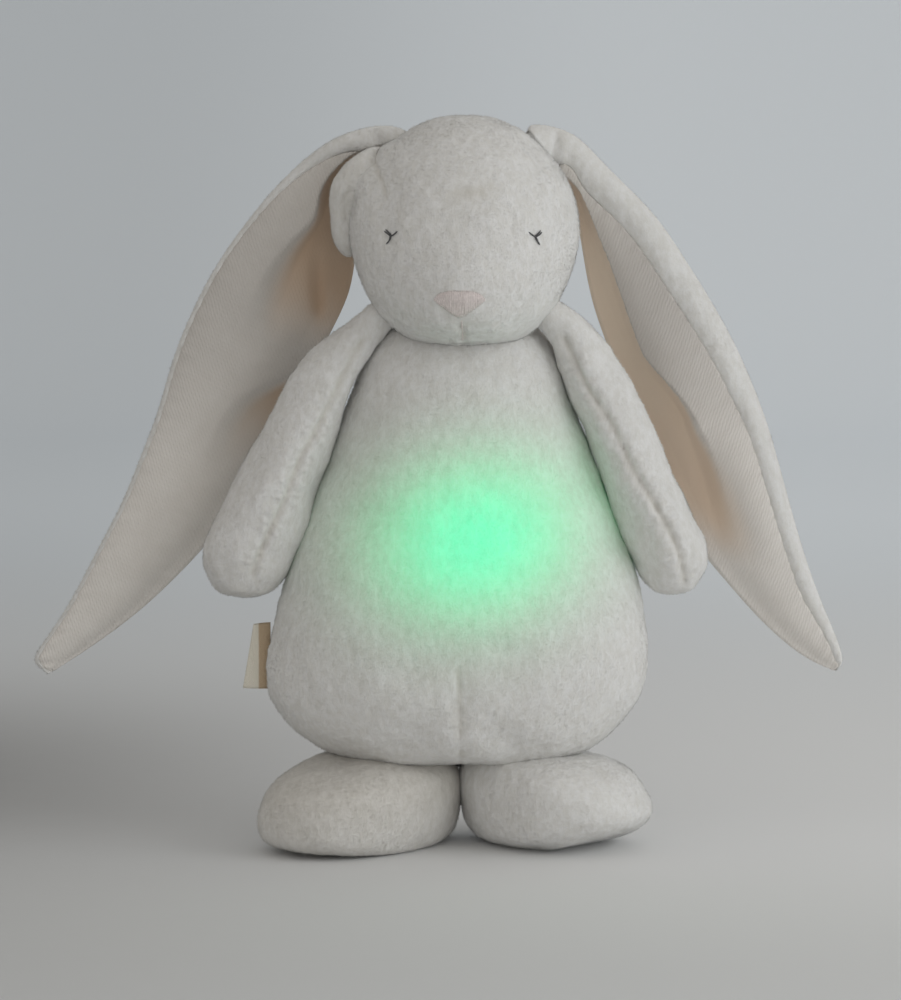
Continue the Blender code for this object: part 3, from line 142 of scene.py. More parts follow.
# Ears: outer and inner edge, each outwards and downwards as shares of reach and drop
EAR_ROOT_OUT, EAR_TOP, EAR_DROP = 0.0330, 0.3100, 0.2390
EAR_FRONT_Y, EAR_ROOT_Y = 0.0240, 0.0165
EAR_EDGE_SHARES = {
    "right": (0.1555, (
        (-0.105, 0.045, -0.120, 0.085), (-0.020, 0.004, -0.045, 0.060), (0.100, 0.012, 0.030, 0.080),
        (0.200, 0.045, 0.075, 0.140), (0.305, 0.105, 0.098, 0.220), (0.403, 0.180, 0.115, 0.290),
        (0.488, 0.260, 0.150, 0.350), (0.556, 0.345, 0.205, 0.420), (0.608, 0.430, 0.260, 0.490),
        (0.650, 0.520, 0.315, 0.555), (0.700, 0.605, 0.370, 0.625), (0.755, 0.690, 0.435, 0.690),
        (0.815, 0.765, 0.515, 0.760), (0.880, 0.845, 0.615, 0.830), (0.945, 0.915, 0.725, 0.895),
        (1.000, 0.970, 0.850, 0.955), (0.988, 0.992, 0.935, 0.990), (0.968, 1.003, 0.955, 1.000),
    )),
    "left": (0.1330, (
        (-0.055, 0.005, -0.100, 0.060), (0.000, 0.000, -0.010, 0.062), (0.105, 0.018, 0.060, 0.090),
        (0.190, 0.060, 0.105, 0.135), (0.285, 0.112, 0.135, 0.190), (0.380, 0.168, 0.155, 0.250),
        (0.470, 0.240, 0.185, 0.325), (0.560, 0.320, 0.235, 0.405), (0.640, 0.400, 0.295, 0.485),
        (0.700, 0.475, 0.355, 0.560), (0.750, 0.550, 0.420, 0.640), (0.790, 0.625, 0.485, 0.715),
        (0.828, 0.700, 0.545, 0.780), (0.868, 0.775, 0.625, 0.835), (0.912, 0.845, 0.730, 0.900),
        (0.960, 0.910, 0.865, 0.965), (0.998, 0.968, 0.960, 0.992), (0.990, 0.990, 0.978, 0.998),
    )),
}
# width of the turned velour rim row by row, in millimetres
EAR_RIMS = {
    "right": (30.0, 20.0, 10.0, 5.5, 3.2, 2.2, 2.0, 2.0, 2.0, 2.0, 2.0, 2.0, 2.0, 2.0, 2.0, 2.0, 2.0, 2.0),
    "left": (30.0, 24.0, 13.0, 13.5, 13.5, 13.5, 13.5, 13.0, 12.0, 10.5, 9.0, 8.5, 8.0, 7.5, 7.0, 5.0,
             4.0, 3.0),
}
# folds: x, z, how far the cloth beyond the fold lies behind it and how wide the bend is, in millimetres
EAR_FOLDS = {
    "right": (
        ((-24.0, 302.0, 1.0, 1.6), (-28.7, 300.5, 6.0, 1.6), (-36.0, 298.0, 11.0, 1.6),
         (-43.2, 292.9, 15.0, 1.8), (-50.5, 283.0, 17.0, 2.2), (-53.5, 272.0, 16.0, 3.0),
         (-59.4, 264.0, 13.5, 5.0), (-67.3, 256.0, 11.0, 9.0), (-77.4, 240.8, 8.0, 14.0),
         (-84.0, 222.0, 3.0, 16.0), (-86.0, 208.0, 0.0, 16.0)),
        ((-38.0, 217.0, 12.0, 1.6), (-46.1, 211.5, 13.0, 1.6), (-53.2, 207.1, 14.0, 1.8),
         (-61.0, 202.8, 14.0, 3.0), (-77.7, 195.8, 10.0, 7.0), (-89.5, 188.5, 7.0, 10.0),
         (-99.0, 174.0, 4.0, 12.0), (-106.0, 156.0, 0.0, 12.0)),
    ),
    "left": (
        ((46.0, 298.0, 2.0, 1.6), (51.4, 291.5, 6.0, 1.6), (57.5, 285.5, 10.0, 1.6),
         (62.3, 279.0, 13.0, 1.6), (68.0, 265.6, 16.0, 1.6), (75.4, 247.0, 18.0, 1.6),
         (81.1, 230.9, 19.0, 1.6), (87.3, 214.0, 19.0, 1.8), (93.5, 204.4, 18.0, 2.2),
         (107.1, 189.1, 15.0, 3.5), (113.2, 178.2, 12.0, 6.0), (119.9, 164.6, 9.5, 8.0),
         (125.5, 147.1, 6.5, 9.0), (130.0, 132.0, 3.5, 10.0), (134.0, 117.0, 0.0, 11.0)),
    ),
}
# soft valleys: x, z, depth, then their half width, in millimetres
EAR_VALLEYS = {
    "right": (((-53.5, 257.0, 0.0, 0.0), (-54.0, 244.0, 4.0, 0.0), (-53.8, 232.0, 3.5, 0.0),
               (-52.5, 222.0, 0.0, 0.0)), 3.2),
    "left": (((112.0, 176.0, 0.0, 0.0), (116.5, 164.0, 3.0, 0.0), (124.5, 146.1, 5.0, 0.0),
              (131.7, 127.9, 4.0, 0.0), (138.0, 112.0, 0.0, 0.0)), 8.0),
}
# the right ear's fold beside the head: its middle, the half width as x and y, half depth, in millimetres
LOBE_SECTIONS = (
    (-26.6, 9.0, 300.6, 0.1, 0.0, 0.1), (-27.5, 9.0, 299.6, 2.5, -0.6, 7.0),
    (-29.5, 8.5, 296.6, 4.8, -2.0, 10.0), (-31.0, 8.0, 293.0, 7.4, -3.6, 11.5),
    (-32.0, 7.5, 289.0, 10.0, -4.5, 12.0), (-33.6, 7.0, 285.0, 11.0, -4.6, 11.5),
    (-35.6, 7.5, 280.5, 10.2, -3.8, 10.8), (-37.8, 9.0, 275.5, 8.6, -2.4, 10.0),
    (-39.8, 11.0, 270.0, 6.7, -1.0, 9.4), (-40.6, 13.0, 263.0, 5.8, 0.0, 9.2),
    (-40.0, 14.5, 257.5, 4.4, 0.0, 8.0), (-39.5, 15.5, 254.9, 3.0, 0.0, 6.0),
    (-39.2, 16.0, 253.6, 1.6, 0.0, 4.0), (-39.0, 16.0, 253.2, 0.1, 0.0, 0.1),
)
LOBE_CREASE = ((-35.6, 280.2), (-38.4, 281.6), (-40.6, 279.4), (-41.1, 275.5), (-40.6, 271.0),
               (-39.8, 266.0))
# the lining: the share of the ear's length at which it starts, how deep it lies where its
# painted brown shade is strongest, how far painted shade darkens it at its root, and the colour of
# its painted shade in the folds by the root and lower down, as shares of the cloth's colour
LINING_FROM = {"left": 0.11, "right": 0.125}
LINING_DEEPEST = {"left": 8.5 * MM, "right": 12.5 * MM}
LINING_ROOT_SHADE = {"left": 0.0, "right": 0.6}
LINING_PAINTED_SHADE = {
    "left": ((1.16, 1.02, 0.87), (0.96, 0.80, 0.66)),
    "right": ((0.74, 0.57, 0.43), (0.80, 0.68, 0.57)),
}
# part of its length times its width that a leaf-shaped cut fills
LEAF_SHARE = 0.62

# frames of the cloth simulation that blows a form up
STUFFING_FRAMES = 20

# Seams seen from the front, x and z in millimetres
ARM_SEAMS = {
    "right": ((-29.5, 220.5), (-35.4, 213.7), (-43.8, 196.7), (-51.6, 181.2), (-59.4, 166.9),
              (-65.1, 151.3), (-72.0, 137.1), (-77.6, 123.5), (-80.5, 114.5)),
    "left": ((51.4, 222.6), (56.5, 212.0), (62.9, 198.3), (68.8, 189.0), (74.2, 180.6), (82.0, 164.5),
             (87.8, 155.0), (93.2, 146.0), (99.0, 135.5), (102.8, 126.0), (104.6, 117.0), (104.8, 111.5)),
}
BELLY_SEAM = ((8.0, 84.0), (8.3, 74.0), (8.6, 64.0), (8.9, 54.0), (9.2, 44.0), (9.4, 34.0))
HEAD_DART = ((-27.5, 295.0), (-26.0, 291.1), (-23.6, 284.0), (-21.8, 276.0))
MOUTH_LINE = ((9.4, 228.5), (9.6, 225.0), (9.9, 221.0), (10.1, 216.0))
BROW_LINE = ((-2.0, 279.0), (8.0, 280.0), (18.0, 281.5), (28.0, 283.0))

EYES = ((-20.3, 262.6), (40.3, 262.2))
EYE_STRANDS = (  # ends seen from the eye's middle, in millimetres, on the toy's left eye
    ((0.6, -0.4), (-2.9, 2.2)), ((-0.4, 0.3), (2.3, 2.9)), ((-0.2, -0.2), (2.0, -3.4)),
    ((0.2, 0.2), (1.3, -3.0)), ((0.0, 0.0), (2.9, 2.2)),
)
NOSE_X, NOSE_Z, NOSE_WIDTH, NOSE_HEIGHT = 0.0086, 0.2342, 0.0212, 0.0118

TAG_SEAM = (-0.0736, 0.0031, 0.0812)
TAG_WIDTH, TAG_REACH = 0.0285, 0.0112
FLAP_TOP_Z, FLAP_WIDTH, FLAP_HEIGHT, FLAP_CORNER = 0.1710, 0.0740, 0.1170, 0.0120
BACK_Y, FLAP_Y = 0.0415, 0.0440
# middle of the flap's padding behind FLAP_Y, and half its thickness
FLAP_MIDDLE, FLAP_HALF = 1.3 * MM, 1.25 * MM
# share of the flap's half width at which its hem is stitched
FLAP_HEM = 0.86
POCKET_Z, POCKET_WIDTH, POCKET_HEIGHT, POCKET_CORNER = 0.1200, 0.0644, 0.0824, 0.0085
POCKET_FRONT_Y = -0.0186
# rounding between the pocket's walls and its bottom, and the lining's distance from the bottom
POCKET_ROUND, POCKET_GAP = 0.0036, 0.0004
# middle height, width and height of the two fastener strips
STRIP_Z, STRIP_WIDTH, STRIP_HEIGHT = 0.0660, 0.0480, 0.0140
# the light in the belly: its middle as x and z, then how far it spreads across and up
GLOW_CENTRE, GLOW_SPREAD = (0.0164, 0.1353), (0.0308, 0.0238)


def spline_through(rows, steps):
    """Rows of numbers joined by an even cubic B-spline that passes through each of them.

    The control rows are solved for, then each value is the blend of four neighbours whose weights
    are the cubic B-spline's.
    """
    rows = np.asarray(rows, float)
    count = len(rows)
    smoothing = np.eye(count)
    for row in range(1, count - 1):
        smoothing[row, row - 1:row + 2] = (1 / 6, 4 / 6, 1 / 6)
    control = np.linalg.solve(smoothing, rows)
    control = np.vstack((2 * control[0] - control[1], control, 2 * control[-1] - control[-2]))
    place = np.linspace(0, count - 1, steps)
    cell = np.minimum(place.astype(int), count - 2)
    f = (place - cell)[:, None]
    weights = ((1 - f) ** 3, 3 * f ** 3 - 6 * f ** 2 + 4, -3 * f ** 3 + 3 * f ** 2 + 3 * f + 1, f ** 3)
    return sum(weight * control[cell + k] for k, weight in enumerate(weights)) / 6


def cloud(points, size, seed):
    """Smooth random values from -1 to 1: numbers hashed on a cubic lattice of that size, blended."""
    at = np.asarray(points) / size
    cell = np.floor(at).astype(np.int64)
    f = at - cell
    f = f * f * (3 - 2 * f)
    total = np.zeros(at.shape[:-1])
    for corner in product((0, 1), repeat=3):
        key = (cell + corner) @ np.array((73856093, 19349663, 83492791)) + seed * 7919
        key = (key ^ (key >> 13)) * 1274126177 & 0xFFFFFFFF
        key = (key ^ (key >> 16)) & 0xFFFF
        total += (key / 0x8000 - 1) * np.prod(np.where(corner, f, 1 - f), axis=-1)
    return total


def smooth_step(low, high, value):
    """0 below low, 1 above high and an S-shaped rise between them."""
    t = np.clip((value - low) / (high - low), 0.0, 1.0)
    return t * t * (3 - 2 * t)


def bell(value, width):
    """Bell curve: 1 at nought, and e to the power of minus one at the width."""
    return np.exp(-(value / width) ** 2)


def signed_power(values, power):
    """The values' sizes raised to a power, their signs kept."""
    return np.sign(values) * np.abs(values) ** power


def unit(vectors):
    """The vectors with a length of one."""
    return vectors / np.maximum(np.linalg.norm(vectors, axis=-1, keepdims=True), 1e-12)


def arc_length(path):
    """How far along a path each of its points is."""
    return np.append(0.0, np.cumsum(np.linalg.norm(np.diff(path, axis=0), axis=1)))


def near_line(points, line):
    """Distance from each point to a line, how far along the line that is, and the line's length."""
    line = spline_through(line, 12 * len(line))
    steps = arc_length(line)
    distance = np.empty(len(points))
    arc = np.empty(len(points))
    for part in np.array_split(np.arange(len(points)), 1 + len(points) // 20000):
        gaps = np.linalg.norm(points[part, None, :] - line[None], axis=2)
        nearest = gaps.argmin(axis=1)
        distance[part] = gaps[np.arange(len(part)), nearest]
        arc[part] = steps[nearest]
    return distance, arc, steps[-1]


def seam(points, line, depth, width, pitch):
    """Height of the cloth by a sewn seam, and how close each point is to it, from 0 to 1.

    A valley whose section is a bell curve, fading at its ends; on both sides the cloth rises and
    falls along the seam in small puckers, which die out a few widths away.
    """
    distance, arc, length = near_line(points, line)
    ends = smooth_step(0.0, 4 * width, arc) * smooth_step(0.0, 4 * width, length - arc)
    valley = bell(distance, width)
    wave = np.sin(math.tau * arc / pitch + 1.9 * np.sin(math.tau * arc / (3.1 * pitch)))
    beside = bell(distance, 3.2 * width) * (1 - valley)
    wrinkles = cloud(points * (1.0, 1.0, 0.45), 2.2 * MM, 13) * bell(distance, 2.6 * width)
    height = -depth * valley * (0.8 + 0.2 * wave) + depth * beside * (0.30 * wave + 0.12)
    return (height + 0.30 * depth * wrinkles) * ends, valley * ends


def grid_faces(rows, columns, wrap=False):
    """Corner numbers of a grid's four-sided faces; wrap joins the last column to the first."""
    row = np.arange(rows - 1)[:, None] * columns
    column = np.arange(columns if wrap else columns - 1)[None, :]
    after = (column + 1) % columns
    return np.stack((row + column, row + after, row + columns + after, row + columns + column),
                    axis=2).reshape(-1, 4)


def mesh_piece(name, vertices, faces):
    """An object at the origin whose mesh has these vertices and faces."""
    mesh = bpy.data.meshes.new(name)
    mesh.from_pydata(np.asarray(vertices).tolist(), [], [list(face) for face in faces])
    mesh.validate()
    mesh.shade_smooth()
    made = bpy.data.objects.new(name, mesh)
    bpy.context.scene.collection.objects.link(made)
    return made


def grid_piece(name, points, wrap=False):
    """A sheet whose points lie in rows and columns; wrap joins the last column to the first."""
    return mesh_piece(name, points.reshape(-1, 3), grid_faces(*points.shape[:2], wrap).tolist())


def outward(vertices, faces):
    """The faces turned so that the shape they close has a positive volume."""
    corners = [vertices[[face[k] for face in faces]] for k in (0, 1, 2)]
    volume = np.einsum("ij,ij->i", corners[0], np.cross(corners[1], corners[2])).sum()
    return faces if volume > 0 else [list(face)[::-1] for face in faces]


def closed_form(points):
    """Vertices and faces of rings of points closed at both ends by a fan around the ring's middle."""
    rows, around = points.shape[:2]
    middle = points.reshape(-1, 3).mean(axis=0)
    vertices = np.vstack((points.reshape(-1, 3), points[0].mean(axis=0), points[-1].mean(axis=0)))
    ring = np.arange(around)
    after = (ring + 1) % around
    last = (rows - 1) * around
    faces = grid_faces(rows, around, wrap=True).tolist()
    faces += np.stack((np.full(around, rows * around), after, ring), axis=1).tolist()
    faces += np.stack((np.full(around, rows * around + 1), last + ring, last + after), axis=1).tolist()
    return vertices, outward(vertices - middle, faces)


def joined(forms):
    """Several sets of vertices and faces as one."""
    vertices, faces, count = [], [], 0
    for points, corners in forms:
        vertices.append(points)
        faces += [[corner + count for corner in face] for face in corners]
        count += len(points)
    return np.vstack(vertices), faces


def rings(rows, steps, around, power=2.0):
    """Rings through sections given as centre, vector across and vector along, in a row of nine numbers.

    Each ring is the curve |cos t|^(2/power) along one vector and |sin t|^(2/power) along the other.
    """
    sections = spline_through(rows, steps).reshape(steps, 3, 1, 3)
    turn = np.arange(around) * math.tau / around
    across = signed_power(np.cos(turn), 2 / power)[None, :, None]
    along = signed_power(np.sin(turn), 2 / power)[None, :, None]
    return sections[:, 0] + sections[:, 1] * across + sections[:, 2] * along


def strand(path, radius, sides=8):
    """A thread along a path: a circle carried square to it, closed and thinned to a point at its ends."""
    way = unit(np.gradient(path, axis=0))
    side = unit(np.cross(way, np.where(np.abs(way[:, 1:2]) > 0.9, (1.0, 0.0, 0.0), (0.0, 1.0, 0.0))))
    up = np.cross(side, way)
    share = np.linspace(-1, 1, len(path))
    thin = np.sqrt(1 - np.abs(share) ** 6) * 0.98 + 0.02
    turn = np.arange(sides) * math.tau / sides
    circle = side[:, None] * np.cos(turn)[None, :, None] + up[:, None] * np.sin(turn)[None, :, None]
    return closed_form(path[:, None] + circle * (radius * thin)[:, None, None])


def stitch_row(path, length, gap, radius):
    """Running stitches: short threads of the given length laid one after another along the path."""
    arc = arc_length(path)
    forms = []
    for first in np.arange(0.0, arc[-1] - length, length + gap):
        spots = np.linspace(first, first + length, 6)
        points = np.stack([np.interp(spots, arc, path[:, k]) for k in range(3)], axis=1)
        forms.append(strand(points, radius, sides=6))
    return forms


def points_of(piece, kind="co"):
    """The piece's vertices, or their normals, as rows of three numbers."""
    values = np.empty(len(piece.data.vertices) * 3, np.float32)
    piece.data.vertices.foreach_get(kind, values)
    return values.reshape(-1, 3).astype(float)


def move_points(piece, points):
    """The piece's vertices put at these points."""
    piece.data.vertices.foreach_set("co", np.asarray(points, np.float32).ravel())
    piece.data.update()


def keep_value(piece, name, values):
    """A number for each vertex, which the material reads by name."""
    layer = piece.data.attributes.get(name) or piece.data.attributes.new(name, "FLOAT", "POINT")
    layer.data.foreach_set("value", np.asarray(values, np.float32))


def settle(piece):
    """The piece's modifiers worked into its mesh."""
    shown = piece.evaluated_get(bpy.context.evaluated_depsgraph_get())
    mesh = bpy.data.meshes.new_from_object(shown)
    piece.modifiers.clear()
    piece.data = mesh
    mesh.shade_smooth()


def thicken(piece, thickness, offset=0.0):
    """Gives a sheet its thickness, half to each side or, with an offset of 1, all behind its front."""
    wall = piece.modifiers.new("cloth_thickness", "SOLIDIFY")
    wall.thickness, wall.offset = thickness, offset
    settle(piece)


def stuff(piece, lines, calm):
    """Fills a form: even cloth, swollen by pressure while its seams are held, then smoothed.

    The form is first drawn in by the slack, no point is swollen further than the sizes' swell, the
    cloth is smoothed calm times, and an even shift brings the mean swelling back to the slack.
    """
    sizes = bpy.context.scene.plush_sizes
    move_points(piece, points_of(piece) - points_of(piece, "normal") * sizes.slack)
    even = piece.modifiers.new("even_cloth", "REMESH")
    even.mode = "VOXEL"
    even.voxel_size = sizes.cloth_cell
    settle(piece)
    rest = points_of(piece)
    held = piece.vertex_groups.new(name="held")
    for line in lines:
        near = near_line(rest, line)[0] < 1.1 * sizes.cloth_cell
        held.add(np.flatnonzero(near).tolist(), 1.0, "REPLACE")
    cloth = piece.modifiers.new("stuffing", "CLOTH")
    cloth.settings.quality = 5
    cloth.settings.use_pressure = True
    cloth.settings.uniform_pressure_force = 4.0
    cloth.settings.effector_weights.gravity = 0.0
    cloth.settings.vertex_group_mass = "held"
    cloth.settings.shrink_min = -0.03
    cloth.collision_settings.use_collision = False
    cloth.point_cache.frame_start, cloth.point_cache.frame_end = 1, STUFFING_FRAMES
    for number in range(STUFFING_FRAMES):
        bpy.context.scene.frame_set(number + 1)
    shown = piece.evaluated_get(bpy.context.evaluated_depsgraph_get())
    swollen = np.empty(rest.size, np.float32)
    shown.data.vertices.foreach_get("co", swollen)
    move = swollen.reshape(-1, 3) - rest
    far = np.linalg.norm(move, axis=1)[:, None]
    piece.modifiers.clear()
    piece.vertex_groups.clear()
    move *= np.minimum(1.0, sizes.swell / np.maximum(far, 1e-9))
    square = points_of(piece, "normal")
    move_points(piece, rest + move)
    even = piece.modifiers.new("calm_cloth", "SMOOTH")
    even.factor, even.iterations = 0.5, calm
    settle(piece)
    move = points_of(piece) - rest
    short = sizes.slack - (move * square).sum(axis=1).mean()
    move_points(piece, rest + move + square * short)
    bpy.context.scene.frame_set(1)
    smooth = piece.modifiers.new("smooth_cloth", "SUBSURF")
    smooth.levels = smooth.render_levels = 2
    settle(piece)


def nap(points, lift):
    """Small unevenness of short pile: soft dents, clumps, and finer clumps drawn out up and down."""
    drawn = points * (1.0, 1.0, 0.5)
    return lift * (1.1 * cloud(points, 21 * MM, 3) + 0.7 * cloud(points, 8 * MM, 5)
                   + 0.8 * cloud(drawn, 2.8 * MM, 7) + 0.45 * cloud(points, 1.5 * MM, 9))


def front_line(piece, places):
    """Places in x and z, in millimetres, carried along Y onto the front of a piece's surface."""
    places = np.asarray(places, float) * MM
    skin = points_of(piece)
    skin = skin[points_of(piece, "normal")[:, 1] < 0.0]
    gaps = np.linalg.norm(skin[None, :, (0, 2)] - places[:, None], axis=2)
    nearest = np.argsort(gaps, axis=1)[:, :6]
    weights = 1 / (np.take_along_axis(gaps, nearest, axis=1) + 0.2 * MM) ** 2
    y = (skin[nearest, 1] * weights).sum(axis=1) / weights.sum(axis=1)
    return np.column_stack((places[:, 0], y, places[:, 1]))


def dress(piece, body, nodes=(), material=None):
    """Gives the piece its material and its body, and hides the nodes it stands for.

    It rides on a body named by a string. Given (first, second, start, end) instead, these are not used:
    the piece keeps its place, its transform worked into its mesh. Without a material it wears the plain
    velour.
    """
    piece.data.materials.clear()
    piece.data.materials.append(material or bpy.data.materials["velour_pile"])
    if isinstance(body, str):
        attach(piece, body)
    else:
        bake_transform(piece)
    if nodes:
        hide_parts(*nodes)


def finish_skin(piece, line_sets, bumps):
    """Seams, dents and pile worked into a stuffed piece.

    line_sets holds (line, depth, width, pitch); bumps holds (centre, radii, height), each a bell
    curve in three directions.
    """
    sizes = bpy.context.scene.plush_sizes
    points, normals = points_of(piece), points_of(piece, "normal")
    height = nap(points, sizes.pile_lift)
    close = np.zeros(len(points))
    for line, depth, width, pitch in line_sets:
        rise, valley = seam(points, line, depth, width, pitch)
        height += rise
        close = np.maximum(close, valley)
    for centre, radii, size in bumps:
        height += size * np.exp(-(((points - centre) / radii) ** 2).sum(axis=1))
    move_points(piece, points + normals * height[:, None])
    # closeness to a seam, where the velour paints shade and the pile grows shorter
    keep_value(piece, "crease", close)


def value_of(piece, name):
    """The number kept by name for each vertex, or nought."""
    values = np.zeros(len(piece.data.vertices), np.float32)
    if name in piece.data.attributes:
        piece.data.attributes[name].data.foreach_get("value", values)
    return values


def pile(skin, body, lay=(0.0, 0.0, -1.0)):
    """Pile on a skin: thin three-sided pyramids, evenly strewn over its area that isn't bare.

    Roots lie where equal shares of the summed triangle areas fall, inside each triangle by two
    golden-ratio sequences. Each fibre leans from the skin's normal towards the lay, which drifts
    smoothly from place to place, and no fibre goes below the floor. It keeps the skin's crease
    value and its value of painted shade, and wears its material.
    """
    sizes = bpy.context.scene.plush_sizes
    mesh = skin.data
    mesh.calc_loop_triangles()
    corners = np.empty(len(mesh.loop_triangles) * 3, np.int32)
    mesh.loop_triangles.foreach_get("vertices", corners)
    corners = corners.reshape(-1, 3)
    points, normals = points_of(skin), points_of(skin, "normal")
    spots = points[corners]
    area = np.linalg.norm(np.cross(spots[:, 1] - spots[:, 0], spots[:, 2] - spots[:, 0]), axis=1) / 2
    area *= value_of(skin, "bare")[corners].mean(axis=1) < 0.5
    total = area.cumsum()
    count = int(total[-1] / sizes.pile_spacing ** 2)
    number = np.arange(count)
    chosen = np.searchsorted(total, (number + 0.5) / count * total[-1])
    first, second = np.sqrt(number * 0.7548776662 % 1.0), number * 0.5698402910 % 1.0
    weights = np.stack((1 - first, first * (1 - second), first * second), axis=1)[..., None]
    root = (spots[chosen] * weights).sum(axis=1)
    up = unit((normals[corners[chosen]] * weights).sum(axis=1))
    crease = (value_of(skin, "crease")[corners[chosen]] * weights[..., 0]).sum(axis=1)
    drift = np.stack([cloud(root, 9 * MM, seed) for seed in (41, 42, 43)], axis=1)
    along = np.array(lay) + 1.1 * drift
    along = unit(along - (along * up).sum(axis=1)[:, None] * up)
    side = np.cross(up, along)
    chance = np.random.default_rng(len(points))
    lean, skew = chance.uniform(0.8, 2.0, (count, 1)), chance.normal(0.0, 0.35, (count, 1))
    way = unit(up + along * lean + side * skew)
    long = sizes.pile_length * chance.uniform(0.6, 1.25, count) * (1 - 0.5 * crease)
    turn = chance.uniform(0.0, math.tau, (count, 1)) + np.arange(3) * math.tau / 3
    out = along[:, None] * np.cos(turn)[..., None] + side[:, None] * np.sin(turn)[..., None]
    base = (root - up * 0.3 * MM)[:, None] + out * sizes.pile_thickness / 2
    vertices = np.concatenate((base, (root + way * long[:, None])[:, None]), axis=1)
    vertices[..., 2] = np.maximum(vertices[..., 2], 0.1 * MM)
    faces = np.array(((0, 1, 3), (1, 2, 3), (2, 0, 3), (2, 1, 0)))[None] + number[:, None, None] * 4
    made = mesh_piece(skin.name + "_pile", vertices.reshape(-1, 3), faces.reshape(-1, 3).tolist())
    shade = unit(np.concatenate((up[:, None] + 0.12 * out, up[:, None] + 0.22 * way[:, None]), axis=1))
    made.data.normals_split_custom_set_from_vertices(shade.reshape(-1, 3).tolist())
    keep_value(made, "crease", np.repeat(crease, 4))
    keep_value(made, "wear_and_painted_shade", np.repeat(value_of(skin, "wear_and_painted_shade")[corners[chosen, 0]], 4))
    dress(made, body, material=skin.data.materials[0])


class Wire:
    """An output socket in a material; arithmetic on wires and numbers adds its Math nodes."""

    def __init__(self, tree, socket):
        self.tree, self.socket = tree, socket

    def math(self, operation, first, second=0.0):
        return node(self.tree, "ShaderNodeMath", {"operation": operation}, {0: first, 1: second})

    def __add__(self, other):
        return self.math("ADD", self, other)

    def __sub__(self, other):
        return self.math("SUBTRACT", self, other)

    def __rsub__(self, other):
        return self.math("SUBTRACT", other, self)

    def __mul__(self, other):
        return self.math("MULTIPLY", self, other)

    def __truediv__(self, other):
        return self.math("DIVIDE", self, other)

    def __pow__(self, other):
        return self.math("POWER", self, other)

    __radd__, __rmul__ = __add__, __mul__

    def wave(self, pitch):
        """Sine of the value, once round for each pitch, from -1 to 1."""
        return self.math("SINE", self * (math.tau / pitch))

    def fades(self):
        """e to the power of minus the value."""
        return self.math("EXPONENT", self * -1.0)

    def step(self, low, high):
        """0 below low, 1 above high and an S-shaped rise between them."""
        return node(self.tree, "ShaderNodeMapRange", {"interpolation_type": "SMOOTHSTEP"},
                    {"Value": self, "From Min": low, "From Max": high})

    def split(self, axis):
        """One of a vector's three numbers."""
        return node(self.tree, "ShaderNodeSeparateXYZ", {}, {0: self}, axis)


def node(tree, kind, settings, values, output=0):
    """Any node: its settings first, then its sockets' values or links; gives one output as a wire."""
    made = tree.nodes.new(kind)
    for name, value in settings.items():
        setattr(made, name, value)
    for name, value in values.items():
        if isinstance(value, Wire):
            tree.links.new(value.socket, made.inputs[name])
        else:
            made.inputs[name].default_value = value
    return Wire(tree, made.outputs[output])


def start(name, colour, roughness, **constants):
    """A new material and its tree, with the shader's own numbers set on its sockets."""
    made = bpy.data.materials.new(name)
    made.use_nodes = True
    made.diffuse_color = (*colour, 1.0)
    tree = made.node_tree
    shader = tree.nodes["Principled BSDF"]
    shader.inputs["Base Color"].default_value = (*colour, 1.0)
    shader.inputs["Roughness"].default_value = roughness
    for key, value in constants.items():
        shader.inputs[key.replace("_", " ")].default_value = value
    return made, tree


def feed(tree, **wires):
    """Links wires to the shader's sockets."""
    shader = tree.nodes["Principled BSDF"]
    for key, wire in wires.items():
        tree.links.new(wire.socket, shader.inputs[key.replace("_", " ")])


def emit(tree, colour, strength=1.0):
    """Light that the surface gives off, its colour from a wire."""
    feed(tree, Emission_Color=colour)
    tree.nodes["Principled BSDF"].inputs["Emission Strength"].default_value = strength


def kept(tree, name):
    """The number that a piece keeps for each vertex under a name."""
    return node(tree, "ShaderNodeAttribute", {"attribute_name": name}, {}, 2)


def place(tree, scale=(1.0, 1.0, 1.0)):
    """Object coordinates, stretched."""
    spot = node(tree, "ShaderNodeTexCoord", {}, {}, 3)
    return node(tree, "ShaderNodeVectorMath", {"operation": "MULTIPLY"}, {0: spot, 1: scale})


def noise(tree, spot, scale, detail=2.0, roughness=0.5):
    """Smooth random values from 0 to 1."""
    return node(tree, "ShaderNodeTexNoise", {}, {
        "Vector": spot, "Scale": scale, "Detail": detail, "Roughness": roughness})


def mix(tree, factor, first, second):
    """Colour between first and second."""
    return node(tree, "ShaderNodeMix", {"data_type": "RGBA"}, {0: factor, 6: first, 7: second}, 2)


def tint(colour, *shares):
    """The colour with its parts multiplied, as four numbers."""
    shares = shares if len(shares) == 3 else shares * 3
    return (*(min(1.0, part * share) for part, share in zip(colour, shares)), 1.0)


def bump(tree, height, distance, strength):
    """The normal of a surface with this relief."""
    return node(tree, "ShaderNodeBump", {}, {
        "Strength": strength, "Distance": distance, "Height": height})


